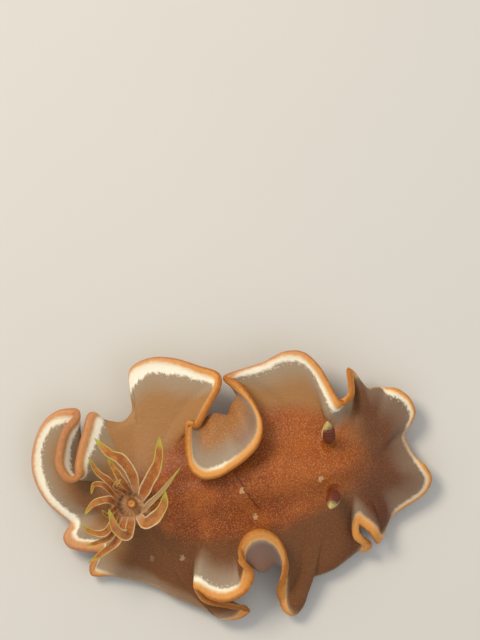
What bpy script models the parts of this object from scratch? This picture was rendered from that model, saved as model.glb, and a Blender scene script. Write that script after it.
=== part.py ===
"""Reef sea slug with a ruffled mantle, life size, crawling on level ground.

The animal lies along X with its head at +X, its left side at +Y and its sole on
the plane z = 0. Sizes below are millimetres; MM turns them into metres.
"""
import math
from typing import NamedTuple

import bmesh
import bpy
import numpy as np

MM = 0.001
GAP = 0.3            # clearance between neighbouring sub-parts

# Trunk: the line where the mantle leaves the body is a bent oval, the root ring.
BODY_CENTRE_X = 0.8
BODY_HALF_LENGTH = 14.4
BODY_HALF_WIDTH = 4.5
OVAL_POWER = 0.85    # below 1 the oval's ends are blunter than an ellipse's
SPINE_BEND = 2.0     # how far the head end leans to the animal's left
SPINE_REACH = 15.0
ROOT_HEIGHT = 4.4
ROOT_FALL = 1.2      # how much lower the root ring is at head and tail
ROOT_SLOPE = 0.16
LIFT = 0.3           # how much of the way to the rim's height is made near the root
CREST_HEIGHT = 6.7
CREST_FALL = 1.3
SPINE_SHARE = 0.72   # length of the back's crest beside the root ring's

# Mantle sheet
SHEET_ROOT = 1.0     # thickness where it leaves the body
SHEET_RIM = 0.64     # thickness near the rim
RIM_BAND = 1.3       # the last stretch before the rim, which is rounded off
SHEET_THINNEST = 0.5
TIGHT_SHARE = 0.9    # half thickness beside the radius of the ball that fits a fold
NEIGHBOUR = 0.25
LOWEST_SHEET = 1.2
BODY_ROWS = 8
COLUMNS_PER_STATION = 4
TRIANGLES_PER_STATION = 80
VOXEL = 0.19          # grain at which folds of one section that touch are joined

# Foot and head
SOLE_HALF_WIDTH = 3.2
FOOT_HEIGHT = 0.9
HEAD_CENTRE = (15.5, 2.0, 1.25)
HEAD_RADII = (1.25, 1.7, 0.7)
TENTACLE_LENGTH = 1.5

# Rhinophores: base and tip of each club
RHINOPHORE_LEFT = ((10.7, 4.5), (10.45, 6.6))
RHINOPHORE_RIGHT = ((11.35, -0.75), (10.75, -2.45))
RHINOPHORE_HEIGHT = 3.6
RHINOPHORE_RADIUS = 0.7
LAMELLAE = 8

# Gill: leaves stand in a circle around the anal papilla
GILL_CENTRE = (-11.0, -2.2)
GILL_RADIUS = 1.4
PAPILLA_OFFSET = (0.25, 0.2)
LEAF_THICKNESS = 0.34

# Finishes: linear colour and roughness
FLESH = ((0.33, 0.15, 0.07), 0.45)
NOTUM = ((0.32, 0.08, 0.025), 0.45)
PALE = ((0.45, 0.33, 0.25), 0.5)
CLUB = ((0.12, 0.03, 0.018), 0.5)
LEAF_FLESH = ((0.42, 0.17, 0.05), 0.45)
PAPILLA_FLESH = ((0.5, 0.16, 0.02), 0.45)


class Ruffle(NamedTuple):
    """One stretch of the mantle's rim.

    kind "open" is a lobe with its upper face out, "tuck" is a rim that turns down
    and under, and "hang" is a fold that bulges toward the point aim before it
    comes back to the rim, so that its underside shows. height, reach and drop go
    from the first value to the second along the path. via has the first and last
    place that the sheet heads for as it leaves the body, where that isn't straight
    for the rim.
    """

    name: str
    kind: str
    height: tuple
    reach: tuple
    drop: tuple
    path: tuple
    aim: tuple = (0.0, 0.0)
    via: tuple = ()


TAIL_FOLD = (-9.0, 4.5)
TAIL_TONGUE = (-19.6, 2.5)
LEFT_CUP = (-0.3, 10.2)
LEFT_POCKET = (12.4, 12.3)
CURL_RIGHT = (22.0, 0.0)
CURL_TOP = (12.0, 4.0)
CURL_LEFT = (6.0, -9.0)
CURL_END = (9.0, -9.0)
TONGUE_SIDE = (11.0, -11.0)
RIGHT_ARCH = (3.7, -13.8)
SHELF_SIDE = (-3.0, -9.0)
RIGHT_TONGUE = (-8.0, -11.6)

# The rim from the tail's right side, clockwise as seen from above.
RUFFLES = (
    Ruffle("tail_lobe", "open", (1.6, 2.8), (2.6, 2.6), (-0.4, -0.4),
           ((-17.7, -4.3), (-19.1, -3.1), (-20.5, -1.6), (-21.7, 1.1))),
    Ruffle("tail_tongue", "hang", (3.0, 3.8), (0.8, 0.5), (-0.2, 0.2),
           ((-21.7, 3.8), (-20.5, 6.8), (-18.8, 8.1)), TAIL_TONGUE, ((-18.5, -0.7), (-18.3, 0.0))),
    Ruffle("tail_tip", "hang", (4.4, 5.0), (0.08, 0.12), (0.8, 1.3),
           ((-17.0, 8.2), (-17.05, 7.5)), TAIL_FOLD, ((-18.1, 0.1), (-17.8, 0.2))),
    Ruffle("tail_fold_rear", "hang", (5.6, 6.4), (0.13, 0.14), (1.6, 1.7),
           ((-18.2, 6.0), (-18.85, 3.8), (-18.9, 1.9)), TAIL_FOLD, ((-17.5, 0.2), (-16.7, 0.4))),
    Ruffle("tail_fold_crest", "hang", (6.7, 6.6), (0.1, 0.16), (1.8, 1.0),
           ((-17.7, 0.5), (-16.9, 0.8)), TAIL_FOLD, ((-16.2, 0.7), (-15.4, 1.2))),
    Ruffle("tail_fold_front", "hang", (6.4, 4.6), (0.18, 0.2), (0.8, 0.5),
           ((-16.95, 2.0), (-16.7, 3.6), (-16.1, 5.9), (-15.5, 7.8)), TAIL_FOLD),
    Ruffle("left_rear_tuck", "tuck", (2.6, 2.6), (0.3, 0.1), (-2.0, -1.2),
           ((-13.9, 6.7), (-11.8, 6.5), (-10.6, 7.7))),
    Ruffle("left_rear_lobe", "open", (3.2, 5.4), (2.6, 2.2), (-0.4, 0.4),
           ((-11.0, 10.2), (-11.0, 12.6), (-8.9, 13.8), (-6.3, 13.8), (-3.6, 13.0), (-1.35, 12.2))),
    Ruffle("left_cup_rear", "open", (6.2, 7.4), (1.6, 0.6), (1.0, 1.8),
           ((-1.15, 11.0), (-2.4, 8.7), (-3.45, 6.8))),
    Ruffle("left_cup", "hang", (7.7, 8.9), (0.1, 1.0), (2.0, 2.4),
           ((-4.05, 6.35), (-4.7, 6.5), (-4.9, 5.3), (-4.85, 3.6), (-4.45, 1.8), (-3.2, 0.75)), LEFT_CUP),
    Ruffle("left_cup_bowl", "hang", (8.9, 8.7), (1.0, 0.9), (2.4, 2.4),
           ((-1.5, 0.85), (0.1, 1.7), (1.85, 3.0)), LEFT_CUP),
    Ruffle("left_cup_front", "hang", (8.5, 5.4), (1.15, 1.5), (2.6, 2.0),
           ((3.05, 4.4), (3.5, 6.2), (3.1, 8.0), (1.95, 9.9), (0.6, 11.3)), LEFT_CUP),
    Ruffle("left_front_corner", "open", (5.0, 4.6), (0.5, 1.0), (1.0, 0.4),
           ((-0.75, 11.75), (0.7, 12.45))),
    Ruffle("left_front_lobe", "open", (4.6, 5.6), (2.2, 2.4), (0.0, 0.2),
           ((3.4, 13.3), (5.8, 14.5), (7.8, 14.5), (9.6, 13.0), (11.8, 9.3))),
    Ruffle("left_front_fold", "hang", (6.2, 5.2), (0.3, 0.1), (1.8, 1.4),
           ((12.4, 8.9), (13.1, 9.7), (13.1, 11.0)), LEFT_POCKET),
    Ruffle("left_front_tip", "hang", (4.2, 4.0), (0.1, 0.1), (0.6, -0.2),
           ((12.9, 12.7),), LEFT_POCKET),
    Ruffle("head_left_tuck", "tuck", (2.6, 1.8), (0.3, 0.3), (-2.0, -1.8),
           ((13.9, 11.1), (14.8, 10.2), (16.3, 10.3))),
    Ruffle("head_left_lobe", "open", (2.8, 2.4), (2.4, 2.4), (-0.4, -0.4),
           ((18.0, 10.5), (19.5, 9.5), (20.2, 7.9), (19.8, 6.7))),
    Ruffle("head_notch", "open", (1.8, 2.0), (2.0, 2.0), (-0.6, -0.6),
           ((19.0, 5.5), (20.1, 3.1))),
    Ruffle("head_right_lobe", "open", (2.4, 1.7), (2.4, 1.6), (-0.4, -0.6),
           ((21.4, 1.9), (22.0, 0.6), (21.4, -0.9), (18.5, -2.95))),
    Ruffle("head_right_tuck", "tuck", (1.3, 1.5), (0.0, 0.2), (-0.9, -1.2),
           ((17.1, -4.0), (16.5, -5.3))),
    Ruffle("front_curl_lip", "hang", (2.3, 3.5), (0.08, 0.11), (-0.8, -0.8),
           ((15.9, -6.45), (15.3, -5.5)), CURL_RIGHT),
    Ruffle("front_curl", "hang", (3.6, 3.7), (0.12, 0.12), (-0.8, -0.8),
           ((14.75, -4.8), (14.35, -4.6), (14.15, -4.8)), CURL_TOP),
    Ruffle("front_curl_rear", "hang", (3.6, 2.6), (0.2, 0.2), (-0.9, -0.9),
           ((14.75, -5.45), (15.5, -6.5)), CURL_LEFT),
    Ruffle("front_curl_end", "hang", (1.8, 1.3), (0.1, 0.05), (-1.0, -1.2),
           ((15.1, -7.1), (13.8, -7.25)), CURL_END),
    Ruffle("right_front_tuck", "tuck", (1.2, 1.2), (0.3, 0.1), (-1.4, -1.3),
           ((12.8, -7.9), (11.0, -9.2), (9.7, -9.75), (8.65, -10.1))),
    Ruffle("right_tongue", "tuck", (1.2, 1.1), (0.1, 0.2), (-1.3, -1.2),
           ((8.0, -11.0), (7.93, -12.4), (7.4, -13.7))),
    Ruffle("right_tongue_tip", "tuck", (1.2, 1.4), (0.2, 0.2), (-1.2, -0.9),
           ((6.75, -14.3), (5.9, -13.9))),
    Ruffle("right_arch_front", "hang", (1.9, 3.2), (0.16, 0.16), (-0.3, 0.4),
           ((5.3, -12.9), (5.0, -11.7)), TONGUE_SIDE),
    Ruffle("right_arch", "hang", (4.8, 7.3), (0.35, 0.8), (1.6, 2.4),
           ((5.85, -10.0), (6.15, -8.2), (5.75, -6.6), (4.65, -5.2), (3.05, -4.65)), RIGHT_ARCH),
    Ruffle("right_arch_side", "hang", (7.3, 7.2), (0.85, 0.6), (2.4, 2.4),
           ((1.7, -5.2), (0.95, -6.6)), RIGHT_ARCH),
    Ruffle("right_arch_rear", "hang", (7.0, 5.6), (0.34, 0.3), (0.5, 0.2),
           ((1.6, -8.2), (2.55, -9.5), (2.25, -11.0)), SHELF_SIDE),
    Ruffle("right_shelf", "open", (5.4, 4.6), (1.4, 2.0), (0.5, 0.2),
           ((1.1, -12.2), (-0.6, -12.8), (-2.3, -12.5), (-3.6, -11.5))),
    Ruffle("right_return", "hang", (3.4, 2.8), (0.25, 0.25), (0.6, 0.2),
           ((-2.5, -12.75), (0.4, -13.5)), RIGHT_TONGUE, ((-4.2, -8.9), (-5.3, -9.2))),
    Ruffle("right_rear_tip", "hang", (2.4, 1.8), (0.25, 0.25), (0.2, 0.0),
           ((2.1, -13.9), (1.2, -14.7), (-0.5, -14.9)), RIGHT_TONGUE, ((-6.2, -9.3), (-7.4, -9.6))),
    Ruffle("right_rear_lobe", "open", (1.5, 1.3), (2.6, 2.6), (-0.6, -0.6),
           ((-3.3, -13.7), (-6.2, -12.5), (-8.4, -11.3), (-12.9, -10.2))),
    Ruffle("rear_notch", "open", (1.4, 2.4), (1.8, 1.2), (0.0, 0.6),
           ((-15.3, -10.1), (-15.5, -9.2), (-15.0, -8.2), (-14.5, -7.6))),
    Ruffle("rear_lobe", "open", (2.2, 1.6), (1.6, 2.0), (0.4, -0.4),
           ((-16.4, -7.4), (-17.9, -6.9), (-18.4, -5.9), (-18.0, -5.0))),
)

# Each mantle section runs from the middle of one ruffle to the middle of another.
SECTIONS = (
    ("mantle_tail", "rear_notch", "tail_fold_crest"),
    ("mantle_left_rear", "tail_fold_crest", "left_cup"),
    ("mantle_left_front", "left_cup", "left_front_fold"),
    ("mantle_head", "left_front_fold", "head_right_tuck"),
    ("mantle_right_front", "head_right_tuck", "right_arch"),
    ("mantle_right_rear", "right_arch", "right_rear_lobe"),
    ("mantle_right_edge", "right_rear_lobe", "rear_notch"),
)


class Leaf(NamedTuple):
    """One gill leaf: where it stands on the gill's circle, its bends, its width."""

    name: str
    angle: float
    path: tuple
    width: float


LEAVES = (
    Leaf("gill_leaf_front", 35, ((-9.0, 0.2, 8.2), (-7.9, 2.5, 9.9), (-7.65, 5.4, 10.5)), 1.45),
    Leaf("gill_leaf_front_left", 61,
         ((-10.7, 1.3, 8.6), (-11.8, 2.9, 9.8), (-13.1, 3.6, 10.2), (-14.7, 5.2, 10.0)), 1.35),
    Leaf("gill_leaf_left", 90, ((-11.8, 0.6, 8.5), (-12.4, 1.6, 9.2), (-13.3, 3.0, 9.5)), 0.85),
    Leaf("gill_leaf_inner_left", 111, ((-12.5, 0.0, 8.9), (-11.8, 0.8, 9.9)), 0.6),
    Leaf("gill_leaf_rear_left", 132, ((-13.2, 0.5, 8.0), (-14.4, 1.5, 8.7), (-15.4, 3.2, 9.4)), 0.8),
    Leaf("gill_leaf_rear_hook", 152, ((-13.7, 0.0, 7.3), (-14.8, 0.1, 7.6), (-15.1, -0.9, 8.2)), 0.65),
    Leaf("gill_leaf_rear", 172, ((-13.3, -1.5, 7.6), (-14.8, -1.9, 8.3), (-15.8, -3.1, 8.4)), 0.9),
    Leaf("gill_leaf_rear_short", 192, ((-13.3, -3.2, 7.9), (-13.9, -2.6, 9.0)), 0.6),
    Leaf("gill_leaf_rear_right", 212, ((-13.4, -4.9, 7.9), (-14.8, -5.1, 8.0), (-16.1, -4.3, 8.4)), 0.85),
    Leaf("gill_leaf_rear_under", 230, ((-13.0, -5.5, 7.2), (-14.2, -6.1, 7.2), (-15.7, -6.5, 7.4)), 0.75),
    Leaf("gill_leaf_rear_long", 251, ((-12.3, -5.9, 6.5), (-13.6, -7.1, 6.5), (-15.45, -8.4, 6.3)), 0.95),
    Leaf("gill_leaf_right_curl", 276, ((-11.2, -5.3, 8.2), (-12.4, -4.6, 9.4), (-13.15, -2.4, 10.2)), 1.25),
    Leaf("gill_leaf_right", 312,
         ((-9.4, -4.0, 7.6), (-8.75, -3.8, 8.8), (-7.95, -3.1, 9.5), (-7.25, -2.0, 9.9), (-7.0, -0.5, 10.3)), 1.0),
    Leaf("gill_leaf_front_right", 339, ((-8.9, -2.0, 7.8), (-7.4, -0.5, 9.0), (-5.4, 2.1, 10.4)), 0.65),
)


def clear_scene():
    for obj in list(bpy.data.objects):
        bpy.data.objects.remove(obj)


def unit(vectors):
    """Vectors scaled to length one along the last axis."""
    length = np.linalg.norm(vectors, axis=-1, keepdims=True)
    return vectors / np.maximum(length, 1e-9)


def level(vectors):
    """Copy of the vectors with no vertical part."""
    flat = np.array(vectors, dtype=float)
    flat[..., 2] = 0.0
    return flat


def lerp(pair, share):
    return pair[0] + (pair[1] - pair[0]) * share


def spine_y(x):
    """Sideways place of the body's middle line at x."""
    return SPINE_BEND * np.sin(np.pi / 2 * np.clip(x / SPINE_REACH, -1.0, 1.0))


def root_height(x):
    return ROOT_HEIGHT - ROOT_FALL * ((x - BODY_CENTRE_X) / BODY_HALF_LENGTH) ** 2


def crest_height(x):
    return CREST_HEIGHT - CREST_FALL * ((x - BODY_CENTRE_X) / BODY_HALF_LENGTH) ** 2


def root_ring(angle):
    """Points of the root ring at these angles."""
    cos, sin = np.cos(angle), np.sin(angle)
    x = BODY_CENTRE_X + BODY_HALF_LENGTH * np.sign(cos) * np.abs(cos) ** OVAL_POWER
    y = BODY_HALF_WIDTH * np.sign(sin) * np.abs(sin) ** OVAL_POWER
    return np.stack([x, y + spine_y(x), root_height(x)], axis=-1)


def root_outward(angle):
    """Level direction away from the body, square to the root ring."""
    step = 1e-3
    along = root_ring(angle + step) - root_ring(angle - step)
    return unit(level(np.cross(along, [0.0, 0.0, 1.0])))


def rim_stations():
    """Rim points and, for each, the offset to where the sheet comes from."""
    rows = []
    for ruffle in RUFFLES:
        last = max(1, len(ruffle.path) - 1)
        for i, (x, y) in enumerate(ruffle.path):
            share = i / last
            rows.append((x, y, lerp(ruffle.height, share), ruffle, share))
    rim = np.array([row[:3] for row in rows])
    along = unit(level(np.roll(rim, -1, axis=0) - np.roll(rim, 1, axis=0)))
    inward = np.stack([along[:, 1], -along[:, 0], 0 * along[:, 0]], axis=-1)
    middle_x = np.clip(0.8 * rim[:, 0], -12.0, 12.0)
    middle = np.stack([middle_x, spine_y(middle_x), 0 * middle_x], axis=-1)
    to_body = unit(level(middle - rim))
    offset = np.zeros_like(rim)
    for i, (x, y, _, ruffle, share) in enumerate(rows):
        reach = lerp(ruffle.reach, share)
        if ruffle.kind == "open":
            offset[i] = reach * unit(0.4 * inward[i] + 0.6 * to_body[i])
        elif ruffle.kind == "tuck":
            offset[i] = -reach * to_body[i]
        else:
            offset[i] = reach * np.array([ruffle.aim[0] - x, ruffle.aim[1] - y, 0.0])
        offset[i, 2] -= lerp(ruffle.drop, share)
    return rim, offset


def station_knots(rim):
    """Curve parameter of each station, closed; short gaps get a fair share."""
    steps = np.sqrt(np.linalg.norm(np.roll(rim, -1, axis=0) - rim, axis=1))
    return np.concatenate([[0.0], np.cumsum(steps)])


def closed_spline(knots, values, at):
    """Smooth closed curve through the values, read at these parameters."""
    count = len(values)
    at = np.mod(at, knots[-1])
    left = np.clip(np.searchsorted(knots, at, side="right") - 1, 0, count - 1)
    right = (left + 1) % count
    gaps = np.diff(knots)[:, None]
    gaps_before = np.roll(gaps, 1, axis=0)
    rise_before = (values - np.roll(values, 1, axis=0)) / gaps_before
    rise_after = (np.roll(values, -1, axis=0) - values) / gaps
    slope = (rise_before * gaps + rise_after * gaps_before) / (gaps + gaps_before)
    s = ((at - knots[left]) / gaps[left, 0])[:, None]
    tangent_left = slope[left] * gaps[left]
    tangent_right = slope[right] * gaps[left]
    return ((2 * s**3 - 3 * s**2 + 1) * values[left] + (s**3 - 2 * s**2 + s) * tangent_left
            + (3 * s**2 - 2 * s**3) * values[right] + (s**3 - s**2) * tangent_right)


def root_angles(curve):
    """Angle on the root ring for each rim point: that of the rim without its ruffles."""
    across = 2.6 * BODY_HALF_WIDTH
    plan = ((curve[:, 0] - BODY_CENTRE_X) / BODY_HALF_LENGTH
            + 1j * (curve[:, 1] - spine_y(curve[:, 0])) / across)
    waves = np.fft.fft(plan)
    kept = np.zeros_like(waves)
    for harmonic in (-3, -2, -1, 0, 1, 2, 3):
        kept[harmonic] = waves[harmonic] * (1.0 if abs(harmonic) < 2 else 0.5)
    return np.unwrap(np.angle(np.fft.ifft(kept)))


class Mantle:
    """The mantle's middle surface: columns run from the root ring to the rim."""

    def __init__(self):
        self.rim, offset = rim_stations()
        self.knots = station_knots(self.rim)
        fine = np.linspace(0.0, self.knots[-1], 2000, endpoint=False)
        angles = root_angles(closed_spline(self.knots, self.rim, fine))
        self.fine = np.append(fine, self.knots[-1])
        self.fine_angles = np.append(angles, angles[0] - 2 * np.pi)
        self.before_rim = self.rim + offset
        self.before_rim[:, 2] = np.maximum(self.before_rim[:, 2], LOWEST_SHEET)
        self.after_root = self.leaving_points(self.angle_at(self.knots[:-1]))
        everywhere = np.linspace(0.0, self.knots[-1], 320, endpoint=False)
        self.cloud = respace(self.columns(everywhere, 60), 0.0)[0].reshape(-1, 3)

    def angle_at(self, at):
        return np.interp(np.mod(at, self.knots[-1]), self.fine, self.fine_angles)

    def leaving_points(self, angle):
        """Where each station's column heads for as it leaves the root ring."""
        root = root_ring(angle)
        way = level(self.before_rim - root)
        stride = 1.2 + 0.45 * np.linalg.norm(way, axis=1)[:, None]
        points = root + stride * unit(0.6 * root_outward(angle) + 0.4 * unit(way))
        i = 0
        for ruffle in RUFFLES:
            for share in np.linspace(0.0, 1.0, len(ruffle.path)):
                if ruffle.via:
                    points[i, :2] = lerp(np.array(ruffle.via), share)
                i += 1
        rise = self.before_rim[:, 2] - root[:, 2]
        points[:, 2] = root[:, 2] - ROOT_SLOPE * stride[:, 0] + LIFT * rise
        return points

    def middle_of(self, name):
        """Curve parameter in the middle of the named ruffle."""
        before = 0
        for ruffle in RUFFLES:
            count = len(ruffle.path)
            if ruffle.name == name:
                return 0.5 * (self.knots[before] + self.knots[before + count - 1])
            before += count
        raise ValueError(name)

    def columns(self, at, rows):
        """Points [row, column] of the middle surface, equally many rows per column."""
        root = root_ring(self.angle_at(at))
        after_root = closed_spline(self.knots, self.after_root, at)
        before_rim = closed_spline(self.knots, self.before_rim, at)
        rim = closed_spline(self.knots, self.rim, at)
        v = np.linspace(0.0, 1.0, rows)[:, None, None]
        return ((1 - v)**3 * root + 3 * (1 - v)**2 * v * after_root
                + 3 * (1 - v) * v**2 * before_rim + v**3 * rim)


def respace(surface, start):
    """Rows of the surface at set distances: even ones, then close ones at the rim.

    Returns the new points and each row's distance to the rim, both [row, column].
    """
    steps = np.linalg.norm(np.diff(surface, axis=0), axis=2)
    travelled = np.concatenate([np.zeros((1, surface.shape[1])), np.cumsum(steps, axis=0)])
    near_rim = RIM_BAND * np.array([0.62, 0.31, 0.08, 0.0])
    points = np.empty((BODY_ROWS + len(near_rim), surface.shape[1], 3))
    to_rim = np.empty(points.shape[:2])
    for column in range(surface.shape[1]):
        length = travelled[-1, column]
        even = np.linspace(start, length - RIM_BAND, BODY_ROWS)
        places = np.concatenate([even, length - near_rim])
        to_rim[:, column] = length - places
        for axis in range(3):
            points[:, column, axis] = np.interp(places, travelled[:, column], surface[:, column, axis])
    return points, to_rim


def sheet_normals(points):
    """Normals of a grid of points, on the side of the mantle's upper face."""
    across = np.gradient(points, axis=1)
    outward = np.gradient(points, axis=0)
    return unit(np.cross(across, outward))


def resting_radius(points, normals, cloud):
    """Radius of the largest ball resting on each point with none of the cloud inside."""
    radius = np.empty(points.shape[:2])
    for at in np.ndindex(radius.shape):
        away = cloud - points[at]
        distance = (away**2).sum(axis=1)
        others = distance > NEIGHBOUR**2
        radius[at] = (distance[others] / np.maximum(2 * np.abs(away[others] @ normals[at]), 1e-9)).min()
    return radius


def half_thickness(points, normals, to_rim, cloud):
    """Half the sheet's thickness: less in tight folds, rounded off at the rim."""
    share = np.clip(to_rim / to_rim[:1], 0.0, 1.0)
    full = 0.5 * (SHEET_RIM + (SHEET_ROOT - SHEET_RIM) * share**1.5)
    room = TIGHT_SHARE * resting_radius(points, normals, cloud)
    full = np.minimum(full, np.maximum(room, 0.5 * SHEET_THINNEST))
    turned = np.clip(1.0 - to_rim / RIM_BAND, 0.0, 1.0)
    return full * np.sqrt(1.0 - turned**2)


def largest_island(work):
    """Delete everything but the connected part with the most faces."""
    left = set(work.faces)
    best = []
    while left:
        island, edge = [], [left.pop()]
        while edge:
            face = edge.pop()
            island.append(face)
            for side in face.edges:
                for other in side.link_faces:
                    if other in left:
                        left.remove(other)
                        edge.append(other)
        best = max(best, island, key=len)
    keep = set(best)
    bmesh.ops.delete(work, geom=[face for face in work.faces if face not in keep], context="FACES")


def fused(vertices, faces, triangles):
    """Shell of millimetres in which touching folds are one body, with about so many triangles.

    Returns its points and faces.
    """
    mesh = bpy.data.meshes.new("shell")
    mesh.from_pydata([tuple(point) for point in vertices], [], faces)
    obj = bpy.data.objects.new("shell", mesh)
    bpy.context.collection.objects.link(obj)
    remesh = obj.modifiers.new("fuse", "REMESH")
    remesh.mode = "VOXEL"
    remesh.voxel_size = VOXEL
    dense = bpy.data.meshes.new_from_object(obj.evaluated_get(bpy.context.evaluated_depsgraph_get()))
    obj.modifiers.remove(remesh)
    work = bmesh.new()
    work.from_mesh(dense)
    largest_island(work)
    bmesh.ops.triangulate(work, faces=work.faces)
    count = len(work.faces)
    work.to_mesh(dense)
    work.free()
    obj.data = dense
    decimate = obj.modifiers.new("lighten", "DECIMATE")
    decimate.ratio = min(1.0, triangles / count)
    light = bpy.data.meshes.new_from_object(obj.evaluated_get(bpy.context.evaluated_depsgraph_get()))
    points = [tuple(vertex.co) for vertex in light.vertices]
    sides = [tuple(polygon.vertices) for polygon in light.polygons]
    bpy.data.objects.remove(obj)
    return points, sides


def make_object(name, vertices, faces, finish):
    """Object from points in millimetres, welded, smooth and facing outward.

    finish is the colour and roughness of its own material.
    """
    mesh = bpy.data.meshes.new(name)
    mesh.from_pydata([tuple(point) for point in np.asarray(vertices) * MM], [], faces)
    work = bmesh.new()
    work.from_mesh(mesh)
    bmesh.ops.remove_doubles(work, verts=work.verts, dist=0.002 * MM)
    bmesh.ops.recalc_face_normals(work, faces=work.faces)
    work.to_mesh(mesh)
    work.free()
    mesh.shade_smooth()
    mesh.materials.append(make_material(f"{name}_skin", *finish))
    obj = bpy.data.objects.new(name, mesh)
    bpy.context.collection.objects.link(obj)
    return obj


def make_material(name, color, roughness):
    material = bpy.data.materials.new(name)
    material.use_nodes = True
    shader = material.node_tree.nodes["Principled BSDF"]
    shader.inputs["Base Color"].default_value = (*color, 1.0)
    shader.inputs["Roughness"].default_value = roughness
    shader.inputs["Metallic"].default_value = 0.0
    material.diffuse_color = (*color, 1.0)
    return material


def closed_strip_faces(loops, around):
    """Faces between successive closed loops, then a cap of quads at both ends.

    Each loop runs out along one face of the sheet, over its edge point and back
    along the other, so that its two halves face each other across the cap.
    """
    faces = []
    for i in range(loops - 1):
        for j in range(around):
            k = (j + 1) % around
            faces.append((i * around + j, i * around + k, (i + 1) * around + k, (i + 1) * around + j))
    half = around // 2
    for first in (0, (loops - 1) * around):
        for j in range(half - 1):
            faces.append((first + j, first + j + 1, first + around - 2 - j, first + around - 1 - j))
        faces.append((first + half - 1, first + half, first + around - half))
    return faces


def build_mantle_section(mantle, name, start_ruffle, end_ruffle):
    """Closed body of one mantle section, GAP clear of its neighbours."""
    start, end = mantle.middle_of(start_ruffle), mantle.middle_of(end_ruffle)
    if end < start:
        end += mantle.knots[-1]
    stations = len(mantle.rim) * (end - start) / mantle.knots[-1]
    at = np.linspace(start, end, max(8, round(stations * COLUMNS_PER_STATION)))
    step = at[1] - at[0]
    padded = np.concatenate([[start - step], at, [end + step]])
    points, to_rim = respace(mantle.columns(padded, 60), GAP / 2)
    normals = sheet_normals(points)
    half = half_thickness(points, normals, to_rim, mantle.cloud)[:, 1:-1, None] * normals[:, 1:-1]
    across = unit(np.gradient(points, axis=1))[:, 1:-1]
    points = points[:, 1:-1]
    points[:, 0] += GAP / 2 * across[:, 0]
    points[:, -1] -= GAP / 2 * across[:, -1]
    upper, lower = points + half, points - half
    loops = np.concatenate([upper[:-1], points[-1:], lower[:-1][::-1]], axis=0)
    around = loops.shape[0]
    vertices = loops.transpose(1, 0, 2).reshape(-1, 3)
    shell = fused(vertices, closed_strip_faces(len(at), around), TRIANGLES_PER_STATION * stations)
    make_object(name, *shell, FLESH)


def spine_row(angle, height_at):
    """For each angle, the point of the body's middle line that faces it."""
    ring_x = root_ring(angle)[:, 0]
    x = BODY_CENTRE_X + SPINE_SHARE * (ring_x - BODY_CENTRE_X)
    return np.stack([x, spine_y(x), height_at(x)], axis=-1)


def inset_ring(angle, inset, height):
    """Root ring drawn toward the middle line, by inset at its widest, at this height."""
    ring = lerp((root_ring(angle), spine_row(angle, root_height)), inset / BODY_HALF_WIDTH)
    ring[:, 2] = height
    return ring


def build_stack(name, rows, finish):
    """Closed body from stacked rings; the first and last rows lie on a line."""
    around = len(rows[0])
    faces = []
    for i in range(len(rows) - 1):
        for j in range(around):
            k = (j + 1) % around
            faces.append((i * around + j, i * around + k, (i + 1) * around + k, (i + 1) * around + j))
    obj = make_object(name, np.concatenate(rows), faces, finish)
    work = bmesh.new()
    work.from_mesh(obj.data)
    bmesh.ops.dissolve_degenerate(work, edges=work.edges, dist=0.004 * MM)
    work.to_mesh(obj.data)
    work.free()


def dome_rows(angle, count):
    """Rows of the back's surface, from its crest line to the root ring."""
    crest = spine_row(angle, crest_height)
    root = root_ring(angle) - GAP / 2 * root_outward(angle)
    root[:, 2] += 0.5 * SHEET_ROOT
    span = np.linalg.norm(level(root - crest), axis=1)[:, None]
    after_crest = crest + 0.5 * level(root - crest)
    before_root = root - 0.35 * span * root_outward(angle)
    before_root[:, 2] = root[:, 2] + ROOT_SLOPE * 0.35 * span[:, 0]
    rows = []
    for s in np.linspace(0.0, 1.0, count):
        rows.append((1 - s)**3 * crest + 3 * (1 - s)**2 * s * after_crest
                    + 3 * (1 - s) * s**2 * before_root + s**3 * root)
    return rows


def build_trunk():
    """The back, the body under it and the foot."""
    angle = np.linspace(0.0, 2 * np.pi, 72, endpoint=False)
    under = root_height(root_ring(angle)[:, 0]) - 0.5 * SHEET_ROOT
    edge = inset_ring(angle, GAP / 2, under)
    build_stack("notum", dome_rows(angle, 8) + [edge, inset_ring(angle, 1.5, under - 0.1),
                spine_row(angle, lambda x: root_height(x) - 0.5 * SHEET_ROOT - 0.2)], NOTUM)
    top = under - 0.1 - GAP
    build_stack("body_side", [
        spine_row(angle, lambda x: root_height(x) - 0.5 * SHEET_ROOT - 0.2 - GAP),
        inset_ring(angle, 1.5, top - 0.05),
        inset_ring(angle, 1.15, top - 0.35),
        inset_ring(angle, 1.3, FOOT_HEIGHT + GAP + 0.3),
        inset_ring(angle, 1.6, FOOT_HEIGHT + GAP),
        spine_row(angle, lambda x: 0 * x + FOOT_HEIGHT + GAP)], PALE)
    flare = BODY_HALF_WIDTH - SOLE_HALF_WIDTH
    build_stack("foot", [
        spine_row(angle, lambda x: 0 * x + FOOT_HEIGHT),
        inset_ring(angle, flare + 0.9, FOOT_HEIGHT),
        inset_ring(angle, flare - 0.1, 0.55),
        inset_ring(angle, flare - 0.3, 0.3),
        inset_ring(angle, flare, 0.0),
        spine_row(angle, lambda x: 0 * x)], PALE)


def curve_points(path, count):
    """Points and unit tangents of a smooth open curve through the path."""
    path = np.array(path, dtype=float)
    ends = [2 * path[0] - path[1], 2 * path[-1] - path[-2]]
    around = np.vstack([ends[0], path, ends[1]])
    at = np.linspace(0.0, len(path) - 1.0, count)
    left = np.minimum(at.astype(int), len(path) - 2)
    s = (at - left)[:, None]
    a, b, c, d = (around[left + k] for k in range(4))
    points = 0.5 * (2 * b + (c - a) * s + (2 * a - 5 * b + 4 * c - d) * s**2 + (3 * b - a - 3 * c + d) * s**3)
    return points, unit(np.gradient(points, axis=0))


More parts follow.
